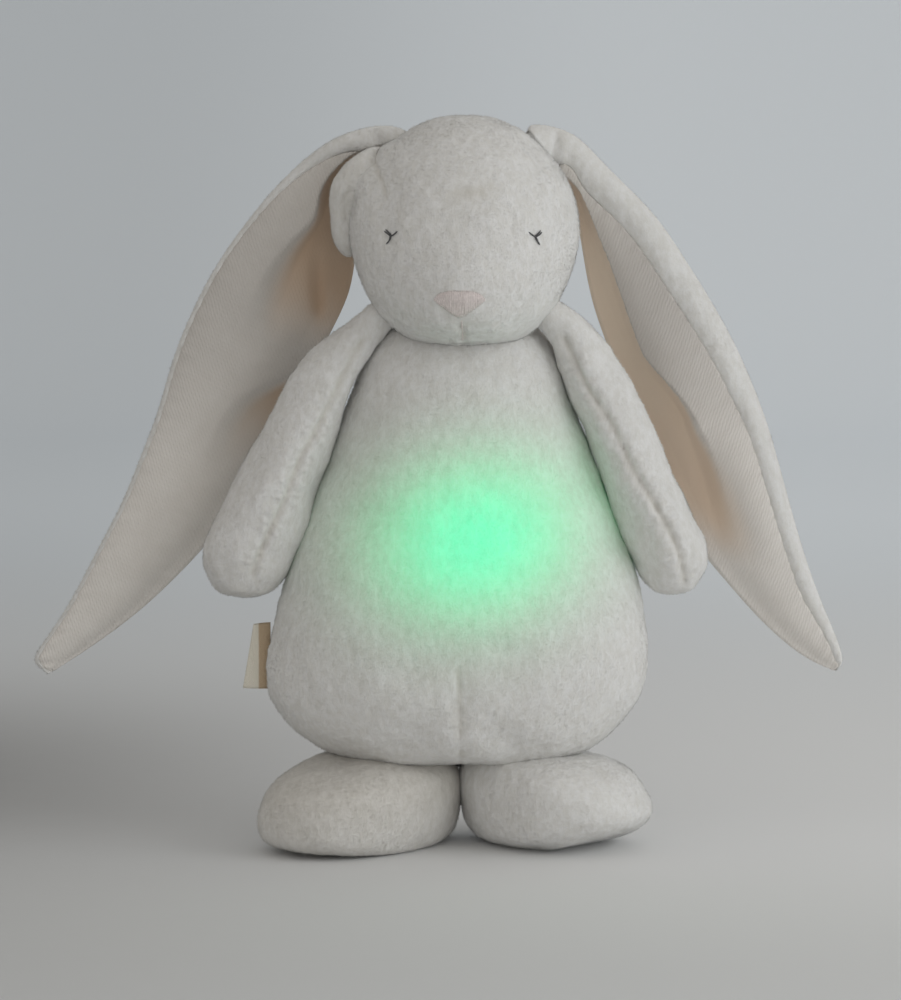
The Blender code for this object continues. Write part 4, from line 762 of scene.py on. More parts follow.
def velour(name, glow=False):
    """Short cream pile: clumps drawn out up and down, a fine nap, painted shade in creases and, where a piece
    keeps it, darker painted shade.

    With glow, a painted glow stands for the light that comes through around the belly's bright place: given
    off by the cloth, falling off as a bell curve, with the cloth's colour painted greener there.
    """
    colours = bpy.context.scene.plush_colours
    colour = tuple(colours.velour)
    made, tree = start(name, colour, 0.95, Sheen_Weight=0.22, Sheen_Roughness=0.55)
    streak = noise(tree, place(tree, (1.0, 1.0, 0.60)), 400.0, 3.0, 0.62)
    clump = noise(tree, place(tree), 95.0, 2.0)
    fine = noise(tree, place(tree, (1.0, 1.0, 0.7)), 1500.0, 2.0, 0.6)
    tone = (streak * 0.55 + clump * 0.22 + fine * 0.23).step(0.36, 0.64)
    shade = mix(tree, tone, tint(colour, 0.94, 0.93, 0.91), tint(colour, 1.04, 1.04, 1.05))
    # painted shade: the pile darker and browner along seams and in creases
    shade = mix(tree, kept(tree, "crease") * 0.45, shade, tint(colour, 0.74, 0.70, 0.62))
    # painted shade: darker, warmer pile where the piece keeps it, as on the toy's right foot
    painted_shade_tones = mix(tree, tone, tint(colour, 0.75, 0.72, 0.67), tint(colour, 0.86, 0.83, 0.79))
    shade = mix(tree, kept(tree, "wear_and_painted_shade"), shade, painted_shade_tones)
    if glow:
        light = tuple(colours.glow)
        spot = place(tree)
        across = (spot.split(0) - GLOW_CENTRE[0]) / GLOW_SPREAD[0]
        up = (spot.split(2) - GLOW_CENTRE[1]) / GLOW_SPREAD[1]
        slant = across * up * -0.22
        far = (across * across + up * up + slant) * 0.5
        share = (far ** 1.12).fades() * (1.0 - spot.split(1).step(-0.005, 0.012))
        through = share * (0.90 + 0.20 * tone)
        # painted glow: the cloth's own colour turned greener where the light comes through
        shade = mix(tree, share ** 1.5, shade, tint(colour, 0.44, 0.70, 0.56))
        lit = mix(tree, share, tint(light, 1.0, 0.92, 0.50), (*light, 1.0))
        emit(tree, mix(tree, through, BLACK, lit))
    relief = streak * 0.5 + fine * 0.35 + clump * 0.3
    feed(tree, Base_Color=shade, Normal=bump(tree, relief, 0.0011, 0.30))
    return made


def woven(name, side):
    """The lining of one ear: slanted fine ribs, broken into short floats in brick order.

    Where it is folded deep (recess) it is smooth and painted in brown shade, and painted shade darkens it by
    its root.
    """
    colour = tuple(bpy.context.scene.plush_colours.lining)
    made, tree = start(f"{name}_woven", colour, 0.85, Sheen_Weight=0.10, Sheen_Roughness=0.5)
    spot = place(tree)
    bend = noise(tree, spot, 120.0, 1.0) * 0.0012
    x, z = spot.split(0) * side, spot.split(2)
    across, along = x * 0.95 - z * 0.31 + bend, x * 0.31 + z * 0.95 + bend
    ribs = across.wave(0.00135)
    floats = (along + across * 0.8).wave(0.0024)
    deep, root = kept(tree, "recess"), kept(tree, "root")
    height = (ribs * 0.55 + ribs * floats * 0.45) * (1.0 - deep * 0.8)
    wear_and_painted_shade = noise(tree, spot, 130.0, 2.0)
    shade = mix(tree, height * 0.22 + wear_and_painted_shade * 0.6 + 0.2, tint(colour, 0.92, 0.90, 0.88), tint(colour, 1.05))
    # painted shade by the root, except where the cloth is folded deep
    shade = mix(tree, root * (1.0 - deep) * 0.38, shade, tint(colour, 0.36, 0.34, 0.33))
    # painted shade in the deep folds: browner, by the root and lower down
    upper, lower = LINING_PAINTED_SHADE[name]
    shade = mix(tree, deep, shade, mix(tree, root, tint(colour, *lower), tint(colour, *upper)))
    feed(tree, Base_Color=shade, Normal=bump(tree, height + wear_and_painted_shade * 0.5, 0.0003, 0.40))
    return made


def thread(name, colour):
    """Shiny embroidery thread: fine diagonal plies."""
    made, tree = start(name, colour, 0.5, Sheen_Weight=0.2)
    spot = place(tree)
    plies = (spot.split(0) + spot.split(2) * 0.6).wave(0.00042)
    wear_and_painted_shade = noise(tree, spot, 700.0)
    feed(tree, Base_Color=mix(tree, plies * 0.3 + wear_and_painted_shade, tint(colour, 0.78), tint(colour, 1.12)),
         Normal=bump(tree, plies * 0.5 + wear_and_painted_shade, 0.00012, 0.7))
    return made


def plain_weave(name, colour, pitch, shaded=None):
    """Flat woven tape or cotton: two crossed waves on Object coordinates, with slight wear.

    shaded gives the two x values between which painted brown shade rises, full beyond the second.
    """
    made, tree = start(name, colour, 0.8, Sheen_Weight=0.08)
    spot = place(tree)
    weave = (spot.split(0) + spot.split(1)).wave(pitch) * spot.split(2).wave(pitch)
    wear_and_painted_shade = noise(tree, spot, 160.0)
    shade = mix(tree, weave * 0.3 + wear_and_painted_shade * 0.8, tint(colour, 0.86), tint(colour, 1.06))
    if shaded:
        # painted shade: the cloth browner towards the body, where it curves back
        shade = mix(tree, spot.split(0).step(*shaded), shade, tint(colour, 0.62, 0.50, 0.39))
    feed(tree, Base_Color=shade, Normal=bump(tree, weave, 0.00012, 0.8))
    return made


def moulded(name, colour, roughness, grain=900.0, wear=0.12, **constants):
    """Moulded plastic or rubber: fine spark grain, faint clouding and a roughness that varies."""
    made, tree = start(name, colour, roughness, **constants)
    grit = noise(tree, place(tree), grain * 3, 2.0)
    clouds = noise(tree, place(tree), 60.0, 3.0)
    feed(tree, Base_Color=mix(tree, clouds, tint(colour, 1 - wear), tint(colour, 1 + wear / 2)),
         Roughness=clouds * 0.2 + (roughness - 0.1), Normal=bump(tree, grit, 0.00005, 0.5))
    return made


def brushed(name, colour):
    """Turned or drawn steel: fine lines and scattered scuffs."""
    made, tree = start(name, colour, 0.3, Metallic=1.0)
    lines = noise(tree, place(tree, (1.0, 14.0, 14.0)), 420.0, 2.0)
    scuffs = noise(tree, place(tree), 240.0, 4.0)
    feed(tree, Base_Color=mix(tree, scuffs, tint(colour, 0.85), tint(colour, 1.1)),
         Roughness=lines * 0.25 + 0.18, Normal=bump(tree, lines, 0.00003, 0.5))
    return made


def circuit_board(name):
    """Green solder mask with lighter tracks in two directions and rows of pads."""
    colour = (0.020, 0.110, 0.055)
    made, tree = start(name, colour, 0.35, Coat_Weight=0.3)
    spot = place(tree)
    bent = noise(tree, spot, 90.0, 1.0) * 0.004
    across = (spot.split(0) + bent).wave(0.0036).step(0.55, 0.75)
    upward = (spot.split(2) + bent).wave(0.0042).step(0.6, 0.8)
    where = noise(tree, spot, 70.0, 1.0).step(0.45, 0.55)
    tracks = across * where + upward * (1.0 - where)
    pads = (spot.split(0).wave(0.0060) * spot.split(2).wave(0.0060)).step(0.93, 0.98)
    shade = mix(tree, tracks * 0.6, (*colour, 1.0), (0.06, 0.24, 0.10, 1.0))
    feed(tree, Base_Color=mix(tree, pads, shade, (0.72, 0.60, 0.30, 1.0)),
         Normal=bump(tree, tracks + pads, 0.00004, 0.6))
    return made


def lit_plastic(name, colour, strength):
    """Translucent plastic that the diodes behind it light, brightest towards the green one."""
    made, tree = start(name, colour, 0.4)
    light = tuple(bpy.context.scene.plush_colours.glow)
    spot = place(tree)
    across, up = (spot.split(0) - GLOW_CENTRE[0]) / 0.018, (spot.split(2) - 0.128) / 0.018
    share = (across * across + up * up).fades()
    milky = noise(tree, spot, 220.0, 2.0)
    feed(tree, Base_Color=mix(tree, milky, tint(colour, 0.93), tint(colour, 1.05)),
         Normal=bump(tree, milky, 0.00005, 0.4))
    emit(tree, mix(tree, share, tint(light, 0.25), (*light, 1.0)), strength)
    return made


def length_setting(name, description, default, **limits):
    """A length that the panel shows."""
    return bpy.props.FloatProperty(name=name, description=description, default=default,
                                   unit="LENGTH", **limits)


def colour_setting(name, description, default):
    """A colour that the panel shows."""
    return bpy.props.FloatVectorProperty(name=name, description=description, default=default,
                                         subtype="COLOR", size=3, min=0.0, max=1.0)


class PlushSizes(bpy.types.PropertyGroup):
    """Sizes of the cloth's make."""

    cloth_cell: length_setting(
        "Cloth cell", "Size of the even cells that the cloth is divided into", 0.0045, min=0.002)
    slack: length_setting("Slack", "How far a form is drawn in before it is stuffed", 0.0022)
    swell: length_setting("Swell", "Furthest that stuffing pushes the cloth out", 0.0030)
    pile_lift: length_setting("Pile unevenness", "Height of the clumps in the pile", 0.00028)
    pile_length: length_setting("Pile length", "Length of a fibre of the pile", 0.0011)
    pile_thickness: length_setting("Pile thickness", "Thickness of a fibre at its root", 0.00048)
    pile_spacing: length_setting(
        "Pile spacing", "Side of the square of skin that each fibre has to itself", 0.00112, min=0.0005)
    arm_seam_depth: length_setting(
        "Arm seam depth", "How deep the seam down the front of an arm is drawn in", 0.0019)
    ear_thickness: length_setting(
        "Ear thickness", "Thickness of an ear's velour with its thin filling", 0.0046)
    stitch_length: length_setting(
        "Stitch length", "Length of one running stitch on flap and pocket", 0.0026)


class PlushColours(bpy.types.PropertyGroup):
    """Colours of cloth, thread and light."""

    velour: colour_setting("Velour", "Pile of the body, head, limbs and ear backs", (0.790, 0.785, 0.768))
    lining: colour_setting("Ear lining", "Woven cotton on the front of the ears", (0.810, 0.778, 0.742))
    glow: colour_setting("Glow", "Light that comes through the belly", (0.010, 0.680, 0.300))
    eye_thread: colour_setting("Eye thread", "Embroidery of the eyes", (0.085, 0.088, 0.095))
    nose_thread: colour_setting("Nose thread", "Satin stitch of the nose", (0.850, 0.765, 0.745))
    ribbon: colour_setting("Side ribbon", "Folded ribbon at the right hip", (0.905, 0.860, 0.745))


class StudioSettings(bpy.types.PropertyGroup):
    """Light and background."""

    key_power: bpy.props.FloatProperty(
        name="Key light", description="Power of the large soft lamp at the toy's left",
        default=6.2, subtype="POWER")
    fill_level: bpy.props.FloatProperty(
        name="Fill", description="Brightness of the even light from all round", default=0.46)
    floor: colour_setting("Floor", "Colour of the floor and the wall behind", (0.925, 0.950, 0.985))


def tube_rows(table, foot, size):
    """Sections of an upright form on its foot, from (height, half width, back, front) shares."""
    width, depth, height = size
    rows = []
    for up, wide, back, front in table:
        rear, fore = back * depth, -front * depth
        rows.append((foot[0], foot[1] + (rear + fore) / 2, foot[2] + up * height,
                     wide * width / 2, 0, 0, 0, (rear - fore) / 2, 0))
    return rows


def above(values, floor, sharp):
    """The larger of the values and the floor, rounded where they meet: a logarithm of two powers."""
    return np.logaddexp(sharp * values, sharp * floor) / sharp


def side_line(piece, side):
    """Places up one side of a form, where it is widest at each of eleven heights."""
    skin = points_of(piece)
    levels = [skin[np.abs(skin[:, 2] - z) < 2.5 * MM] for z in np.linspace(0.055, 0.205, 11)]
    return np.array([level[(side * level[:, 0]).argmax()] for level in levels])


def outline(width, height, corner, steps):
    """A rounded rectangle around the origin as (x, z) points, anticlockwise."""
    turn = np.linspace(0.0, math.pi / 2, steps)
    arc = np.column_stack((np.cos(turn), np.sin(turn))) * corner
    middle = np.array((width / 2 - corner, height / 2 - corner))
    corners = []
    for quarter in range(4):
        angle = quarter * math.pi / 2
        turned = np.array(((math.cos(angle), math.sin(angle)), (-math.sin(angle), math.cos(angle))))
        signs = np.array(((1, 1), (-1, 1), (-1, -1), (1, -1))[quarter])
        corners.append(arc @ turned + middle * signs)
    return np.vstack(corners)


def upright(places, y, middle=(0.0, 0.0)):
    """Places in x and z, moved to a middle, as points at one y."""
    return np.column_stack((places[:, 0] + middle[0], np.full(len(places), y), places[:, 1] + middle[1]))


class NIGHTLIGHT_OT_body(bpy.types.Operator):
    """Stuffed body: an upright pear with a flattened back, its belly lit from inside."""

    bl_idname = "nightlight.body"
    bl_label = "Body"

    def execute(self, context):
        rows = tube_rows(BODY_SECTION_SHARES, (AXIS_X, AXIS_Y, BODY_BOTTOM),
                         (BODY_WIDTH, BODY_DEPTH, BODY_HEIGHT))
        points = rings(rows, 90, 120)
        half = np.maximum((points[..., 0] - AXIS_X).max(axis=1, keepdims=True), MM)
        for name, side in SIDES:
            heights, fuller = np.array(BODY_SIDES[name]).T * MM
            share = smooth_step(0.2, 1.0, side * (points[..., 0] - AXIS_X) / half)
            points[..., 0] += side * share * np.interp(points[..., 2], heights, fuller)
        points[..., 1] = -above(-points[..., 1], -BACK_Y - 0.0006, 400.0)
        bottom = 0.0325 + 0.0050 * smooth_step(0.004, -0.026, points[..., 1])
        points[..., 2] = above(points[..., 2], bottom, 400.0)
        piece = mesh_piece("body_skin", *closed_form(points))
        stuff(piece, [front_line(piece, BELLY_SEAM), side_line(piece, -1), side_line(piece, 1)], 6)
        belly = front_line(piece, BELLY_SEAM)
        belly_y = belly[3, 1]
        finish_skin(piece, [
            (belly, 0.9 * MM, 1.2 * MM, 8 * MM),
            *((side_line(piece, side), 0.8 * MM, 1.4 * MM, 9 * MM) for side in (-1, 1)),
        ], [  # fullness on both sides of the belly's seam
            ((AXIS_X + 0.006, belly_y, 0.058), (0.004, 0.02, 0.016), 0.5 * MM),
            ((AXIS_X - 0.006, belly_y, 0.056), (0.004, 0.02, 0.018), 0.7 * MM),
        ])
        points = points_of(piece)
        points[:, 1] = np.minimum(points[:, 1], BACK_Y)
        move_points(piece, points)
        piece.data.materials.append(velour("belly_velour", glow=True))
        covered = (points[:, 1] > 0.034) & (np.abs(points[:, 0] - AXIS_X) < 0.036) & (
            np.abs(points[:, 2] - FLAP_TOP_Z + FLAP_HEIGHT / 2) < 0.057)
        keep_value(piece, "bare", covered | (points[:, 2] < 0.037))
        pile(piece, "toy")
        edge = outline(POCKET_WIDTH, POCKET_HEIGHT, POCKET_CORNER, 10)
        ends = [upright(edge, y, (AXIS_X, POCKET_Z)) for y in (POCKET_FRONT_Y, BACK_Y + 0.02)]
        cutter = mesh_piece("pocket_cutter", *closed_form(np.stack(ends)))
        cut = piece.modifiers.new("pocket", "BOOLEAN")
        cut.object, cut.operation = cutter, "DIFFERENCE"
        settle(piece)
        bpy.data.objects.remove(cutter)
        dress(piece, "toy", ["body"], material=bpy.data.materials["belly_velour"])
        return {"FINISHED"}


class NIGHTLIGHT_OT_head(bpy.types.Operator):
    """Stuffed head: a rounded egg, full at the muzzle, with a dart and a brow crease."""

    bl_idname = "nightlight.head"
    bl_label = "Head"

    def execute(self, context):
        rows = tube_rows(HEAD_SECTION_SHARES, (HEAD_X, HEAD_Y, HEAD_BOTTOM),
                         (HEAD_WIDTH, HEAD_DEPTH, HEAD_HEIGHT))
        points = rings(rows, 70, 96)
        points[..., 2] = above(points[..., 2], 0.2170, 700.0)
        piece = mesh_piece("head_skin", *closed_form(points))
        stuff(piece, [front_line(piece, HEAD_DART)], 3)
        dart, mouth, brow, eyes = (
            front_line(piece, places) for places in (HEAD_DART, MOUTH_LINE, BROW_LINE, EYES))
        muzzle = mouth[0, 1]
        finish_skin(piece, [
            (dart, 0.9 * MM, 1.2 * MM, 6 * MM), (mouth, 1.8 * MM, 1.5 * MM, 7 * MM),
            (brow, 0.5 * MM, 3.5 * MM, 30 * MM),
        ], [  # hollows of the eyes, then cheeks, the bridge of the nose, and crown and temple by the ears
            *((eye, (0.0045, 0.02, 0.0045), -1.1 * MM) for eye in eyes),
            ((NOSE_X - 0.010, muzzle, 0.2245), (0.008, 0.02, 0.006), 1.0 * MM),
            ((NOSE_X + 0.013, muzzle, 0.2245), (0.008, 0.02, 0.006), 1.0 * MM),
            ((NOSE_X, muzzle, 0.2480), (0.016, 0.03, 0.014), 1.4 * MM),
            ((-0.018, -0.010, 0.3050), (0.006, 0.02, 0.005), -0.8 * MM),
            ((-0.0350, -0.004, 0.2905), (0.0085, 0.016, 0.0100), 5.0 * MM),
            ((-0.0270, 0.004, 0.3000), (0.0070, 0.014, 0.0060), 2.5 * MM),
            ((0.040, -0.010, 0.3010), (0.006, 0.02, 0.005), -1.0 * MM),
        ])
        dress(piece, "toy", ["head"], material=velour("velour_pile"))
        points = points_of(piece)
        under_nose = (points[:, 1] < 0) & (np.abs(points[:, 0] - NOSE_X) < 0.0095) & (
            np.abs(points[:, 2] - NOSE_Z - 0.0002) < 0.0030)
        keep_value(piece, "bare", under_nose)
        pile(piece, "toy", lay=(0.0, 0.0, -0.6))
        return {"FINISHED"}


class NIGHTLIGHT_OT_face(bpy.types.Operator):
    """Embroidery: closed eyes of crossed threads, a satin-stitched nose and the mouth's thread."""

    bl_idname = "nightlight.face"
    bl_label = "Face"

    def execute(self, context):
        head = bpy.data.objects["head_skin"]
        colours = context.scene.plush_colours
        dark = thread("eye_thread", tuple(colours.eye_thread))
        pink = thread("nose_thread", tuple(colours.nose_thread))
        for (x, z), side, name in zip(EYES, (-1, 1), ("right", "left")):
            forms = []
            for number, ends in enumerate(EYE_STRANDS):
                share = np.linspace(0.0, 1.0, 9)[:, None]
                low, high = (np.array((x + side * e[0], z + e[1])) for e in ends)
                bow = np.sin(math.pi * share) * (0.25, -0.2)
                path = front_line(head, low + (high - low) * share + bow)
                path[:, 1] += -0.25 * MM - 0.35 * MM * np.sin(math.pi * share[:, 0]) - number * 0.05 * MM
                forms.append(strand(path, 0.30 * MM))
            piece = mesh_piece(f"{name}_eye_threads", *joined(forms))
            dress(piece, "toy", [f"{name}_eye_stitch"], dark)
        forms = []
        for x in np.linspace(-0.94, 0.94, 27):
            high = 0.50 * (1 - abs(x) ** 3.5) ** 0.5 + 0.02
            low = -0.50 * (1 - abs(x) ** 1.4) ** 0.8 + 0.20 * abs(x)
            share = np.linspace(0.0, 1.0, 12)
            spots = np.column_stack((
                np.full(12, (NOSE_X + x * NOSE_WIDTH / 2) / MM) + 0.12 * np.sin(9 * x),
                (NOSE_Z + (low + (high - low) * share) * NOSE_HEIGHT) / MM))
            path = front_line(head, spots)
            crown = 0.9 * MM * (1 - x * x) ** 0.5 * np.sin(math.pi * share) ** 0.6
            path[:, 1] -= crown + 0.1 * MM
            forms.append(strand(path, 0.62 * MM))
        piece = mesh_piece("nose_threads", *joined(forms))
        dress(piece, "toy", ["nose_stitch"], pink)
        path = front_line(head, spline_through(MOUTH_LINE, 14))
        path[:, 1] += 0.2 * MM
        piece = mesh_piece("mouth_thread", *strand(path, 0.45 * MM))
        dress(piece, "toy", ["mouth_stitch"], pink)
        return {"FINISHED"}


class NIGHTLIGHT_OT_arms(bpy.types.Operator):
    """Stuffed arms: a bent tapering sausage each, drawn in along a puckered seam down its front."""

    bl_idname = "nightlight.arms"
    bl_label = "Arms"

    def execute(self, context):
        depth = context.scene.plush_sizes.arm_seam_depth
        for name, side in SIDES:
            x, z, wide_x, wide_z = np.array(ARM_SECTIONS[name]).T * MM
            half = np.hypot(wide_x, wide_z)
            fuller = 1 + 1.2 * MM / (half + 3 * MM)
            wide_x, wide_z = wide_x * fuller, wide_z * fuller
            x = x - side * 0.8 * MM
            thick = ARM_DEPTH * (half / half.max()) ** 0.8
            flat = 0 * x
            rows = np.column_stack((x, SHOULDER_Y + flat, z, wide_x, flat, wide_z, flat, thick, flat))
            piece = mesh_piece(f"{name}_arm_skin", *closed_form(rings(rows, 90, 60)))
            stuff(piece, [front_line(piece, ARM_SEAMS[name])], 4)
            line = front_line(piece, ARM_SEAMS[name])
            end = (x[-1], SHOULDER_Y, z[-1])
            finish_skin(piece, [(line, depth, 1.6 * MM, 5.0 * MM)], [  # dents above the hand
                ((end[0] - side * 0.012, end[1] - 0.012, end[2] + 0.020), (0.004, 0.01, 0.011), -0.7 * MM),
                ((end[0] + side * 0.006, end[1] - 0.012, end[2] + 0.016), (0.003, 0.01, 0.009), -0.6 * MM),
            ])
            pivot = np.array((AXIS_X + side * SHOULDER_OUT, SHOULDER_Y, SHOULDER_Z))
            down = np.array((side * 0.62, 0.0, -0.78))
            joint = ("toy", f"{name}_arm", pivot - down * 0.010, pivot + down * 0.020)
            dress(piece, joint, [f"{name}_arm"])
            pile(piece, joint, lay=(0.4 * side, 0.0, -1.0))
        return {"FINISHED"}


class NIGHTLIGHT_OT_feet(bpy.types.Operator):
    """Stuffed feet: ovals that splay outwards, flat underneath, with a seam round the outer end."""

    bl_idname = "nightlight.feet"
    bl_label = "Feet"

    def execute(self, context):
        for name, side in SIDES:
            turn = FOOT_SPLAY * side
            long_way = np.array((math.sin(turn), -math.cos(turn), 0.0)) * FOOT_LENGTH / 2
            wide_way = np.array((math.cos(turn), math.sin(turn), 0.0)) * FOOT_WIDTH / 2
            centre = np.array((AXIS_X + side * FOOT_OUT[name], AXIS_Y - FOOT_FORWARD, 0.0))
            rows = [(*(centre + (-side * FOOT_LEAN[name] * max(up, 0.0) ** 2, 0, up * FOOT_HEIGHT)),
                     *(long_way * length), *(wide_way * width)) for up, length, width in FOOT_SECTION_SHARES]
            piece = mesh_piece(f"{name}_foot_skin", *closed_form(rings(rows, 46, 90, 2.3)))
            around = np.linspace(*FOOT_SEAM_TURNS[name], 8) * math.pi
            line = np.array([centre + 0.99 * (long_way * math.cos(t) + side * wide_way * math.sin(t))
                             + (0, 0, FOOT_SEAM_Z) for t in around])
            stuff(piece, [line], 3)
            dents = [  # where the body presses on the foot
                ((centre[0] - side * 0.012, centre[1] - 0.020, 0.0360), (0.013, 0.006, 0.004), -1.4 * MM),
                ((centre[0] - side * 0.004, centre[1] - 0.028, 0.0330), (0.010, 0.005, 0.004), -1.0 * MM),
                ((centre[0] - side * 0.020, centre[1] - 0.026, 0.0300), (0.006, 0.006, 0.007), -0.8 * MM),
            ]
            finish_skin(piece, [(line, 1.0 * MM, 1.4 * MM, 7 * MM)], dents)
            points = points_of(piece)
            ahead = (points - centre)[:, :2] @ long_way[:2] / (FOOT_LENGTH / 2) ** 2
            points[:, 2] = np.maximum(points[:, 2], 0.0)
            points[:, 2] *= 1 - FOOT_TOE_DROP[name] * smooth_step(-0.25, 1.0, ahead)
            low = 1 - smooth_step(0.0, FOOT_HEIGHT, points[:, 2])
            points[:, 2] += smooth_step(-0.1, 1.0, ahead) * low * FOOT_TOE_RISE[name]
            shorter = FOOT_TOE_SHORT[name] * long_way[:2]
            points[:, :2] -= shorter * smooth_step(0.0, 1.1, ahead)[:, None]
            move_points(piece, points)
            dress(piece, "toy", [f"{name}_foot"])
            # painted shade on the foot, stronger towards its top by the body
            wear_and_painted_shade = FOOT_PAINTED_SHADE[name] * (0.55 + 0.45 * smooth_step(0.006, 0.030, points[:, 2]))
            keep_value(piece, "wear_and_painted_shade", wear_and_painted_shade)
            keep_value(piece, "bare", points[:, 2] < 0.0006)
            pile(piece, "toy", lay=(0.5 * side, 0.0, -0.8))
        return {"FINISHED"}


def across_line(x, z, line):
    """Signed distance past a line of (x, z, depth, width), its depth and width there, and its normal."""
    line = spline_through(np.array(line), 14 * len(line)) * MM
    flat = np.column_stack((x.ravel(), z.ravel()))
    gaps = np.linalg.norm(flat[:, None] - line[None, :, :2], axis=2)
    nearest = gaps.argmin(axis=1)
    way = unit(np.gradient(line[:, :2], axis=0))[nearest]
    off = flat - line[nearest, :2]
    sign = np.sign(way[:, 0] * off[:, 1] - way[:, 1] * off[:, 0])
    signed = sign * gaps[np.arange(len(flat)), nearest]
    depth, width = np.maximum(line[nearest, 2], 0.0), np.maximum(line[nearest, 3], 1.2 * MM)
    square = np.stack((-way[:, 1], way[:, 0]), axis=1)
    return [part.reshape(x.shape) for part in (signed, depth, width, square[:, 0], square[:, 1])]


def ear_surface(name, side, rows=200, columns=112):
    """The ear's front as a grid, outer edge first: its plain form, its folds and its rim's share.

    x and z run straight from the outer to the inner edge. y is the ear's plane, less a forward bow
    of the outer band, with a lean at the inner edge. Each fold then takes the cloth back by an
    S-shaped step and tucks it under the fold, a sine of the step, where the fold is sharp.
    """
    reach, table = EAR_EDGE_SHARES[name]
    edges = spline_through(table, rows)
    over = np.linspace(0.0, 1.0, columns)[None, :]
    outer, inner = edges[:, None, 0:2], edges[:, None, 2:4]
    spot = outer + (inner - outer) * over[:, :, None]
    x = HEAD_X + side * (EAR_ROOT_OUT + spot[..., 0] * reach)
    z = EAR_TOP - spot[..., 1] * EAR_DROP
    along = np.linspace(0.0, 1.0, rows)[:, None]
    width = np.linalg.norm((edges[:, 0:2] - edges[:, 2:4]) * (reach, EAR_DROP), axis=1)[:, None]
    rim = spline_through(np.array(EAR_RIMS[name])[:, None], rows) * MM / width
    rim = np.minimum(rim, np.where(along < 0.5, 1.0, 0.45))
    base = EAR_ROOT_Y + (EAR_FRONT_Y - EAR_ROOT_Y) * smooth_step(0.03, 0.24, along)
    bow = 0.11 * width * np.sin(math.pi * np.clip(over / 0.85, 0, 1) ** 0.62) * smooth_step(0.05, 0.2, along)
    lean = 0.16 * width * smooth_step(0.45, 1.0, over) ** 2
    waves = 0.8 * MM * cloud(np.stack((x, 0 * x, z), axis=2), 17 * MM, 21) * smooth_step(0, 0.1, along)
    plain = np.stack((x, base - bow + lean + waves, z), axis=2)
    folded, under, behind = plain.copy(), plain.copy(), plain.copy()
    deep = np.zeros_like(x)
    for fold in EAR_FOLDS[name]:
        past, depth, bend, out_x, out_z = across_line(x, z, fold)
        past, out_x, out_z = -side * past, -side * out_x, -side * out_z
        step = smooth_step(-0.2 * bend, 0.8 * bend, past)
        tuck = 1.3 * MM * np.sin(math.pi * step) * (1 - smooth_step(1.8 * MM, 4 * MM, bend))
        tuck *= smooth_step(4 * MM, 12 * MM, depth)
        deep += depth * step
        folded[..., 0] -= out_x * tuck
        folded[..., 2] -= out_z * tuck
        folded[..., 1] += depth * step
        under[..., 1] += depth * smooth_step(-0.2 * bend - 6 * MM, 0.0, past)
        behind[..., 1] += depth * smooth_step(-0.2 * bend - 15 * MM, -2 * MM, past)
    valley, half_width = EAR_VALLEYS[name]
    past, depth = across_line(x, z, valley)[:2]
    hollow = depth * bell(past, half_width * MM)
    for grid in (folded, under, behind):
        grid[..., 1] += hollow
    return {"front": folded, "under": under, "behind": behind, "rim": rim, "deep": deep + hollow,
            "over": over, "along": along}


def cloth_map(piece, grid):
    """A UV map in metres: across the cloth and along it, from the grid's own lengths."""
    across = np.cumsum(np.linalg.norm(np.diff(grid, axis=1, prepend=grid[:, :1]), axis=2), axis=1)
    along = np.cumsum(np.linalg.norm(np.diff(grid, axis=0, prepend=grid[:1]), axis=2), axis=0)
    along = np.broadcast_to(along.mean(axis=1, keepdims=True), across.shape)
    flat = np.column_stack((across.ravel(), along.ravel()))
    layer = piece.data.uv_layers.new(name="cloth")
    corners = np.empty(len(piece.data.loops), np.int32)
    piece.data.loops.foreach_get("vertex_index", corners)
    layer.data.foreach_set("uv", flat[corners % len(flat)].astype(np.float32).ravel())


def ear_velour(form):
    """The velour bag of an ear: front and back of a thin pillow, closed round its edges.

    Its front swells beside the lining as a rim, a half sine across it with small puckers towards
    the seam, then runs under the lining; at the root it swells further and is pinched once.
    """
    sizes = bpy.context.scene.plush_sizes
    over, along, rim = form["over"], form["along"], form["rim"]
    edge = np.sqrt(np.clip(1 - np.abs(2 * over - 1) ** 10, 0.0, 1.0))
    ends = np.sqrt(np.clip(1 - np.abs(2 * along - 1) ** 40, 0.0, 1.0))
    first = form["front"][:, 0]
    length = arc_length(first)[:, None]
    wide = np.linalg.norm(form["front"][:, -1] - first, axis=1)[:, None]
    swell = np.minimum(0.20 * rim * wide, 2.0 * MM)
    t = np.clip(over / rim, 0.0, 1.0)
    pucker = np.sin(math.tau * length / 0.0058 + 1.6 * np.sin(math.tau * length / 0.019))
    root = bell(along - 0.035, 0.03) - 0.9 * bell(along - 0.092, 0.010)
    lift = swell * np.sin(math.pi * t) ** 0.7 + 2.2 * MM * root * np.sin(math.pi * over)
    lift = lift + 0.30 * MM * pucker * bell(t - 0.86, 0.2)
    covered = smooth_step(1.0, 1.0 + 1.2 * MM / (rim * wide), over / rim)
    front = form["front"] * (1 - covered[..., None]) + form["under"] * covered[..., None]
    front[..., 1] += (1.1 * MM * covered - lift * (1 - covered)) * ends
    rear = form["behind"].copy()
    rear[..., 1] += (0.3 * MM + sizes.ear_thickness * edge * ends) * (1 + 0.3 * (1 - covered))
    rear[..., 1] = np.maximum(rear[..., 1], front[..., 1] + 0.3 * MM)
    around = np.concatenate((front, rear[:, ::-1]), axis=1)
    rough = nap(around.reshape(-1, 3), sizes.pile_lift * 0.8).reshape(around.shape[:2])
    sides = np.concatenate((-edge, edge[:, ::-1]), axis=1)
    around[..., 1] += rough * sides * ends
    around[..., 2] -= 4.5 * MM * (1 - smooth_step(0.0, 0.032, along)) ** 1.5
    return around, np.concatenate((covered, 0 * covered), axis=1)


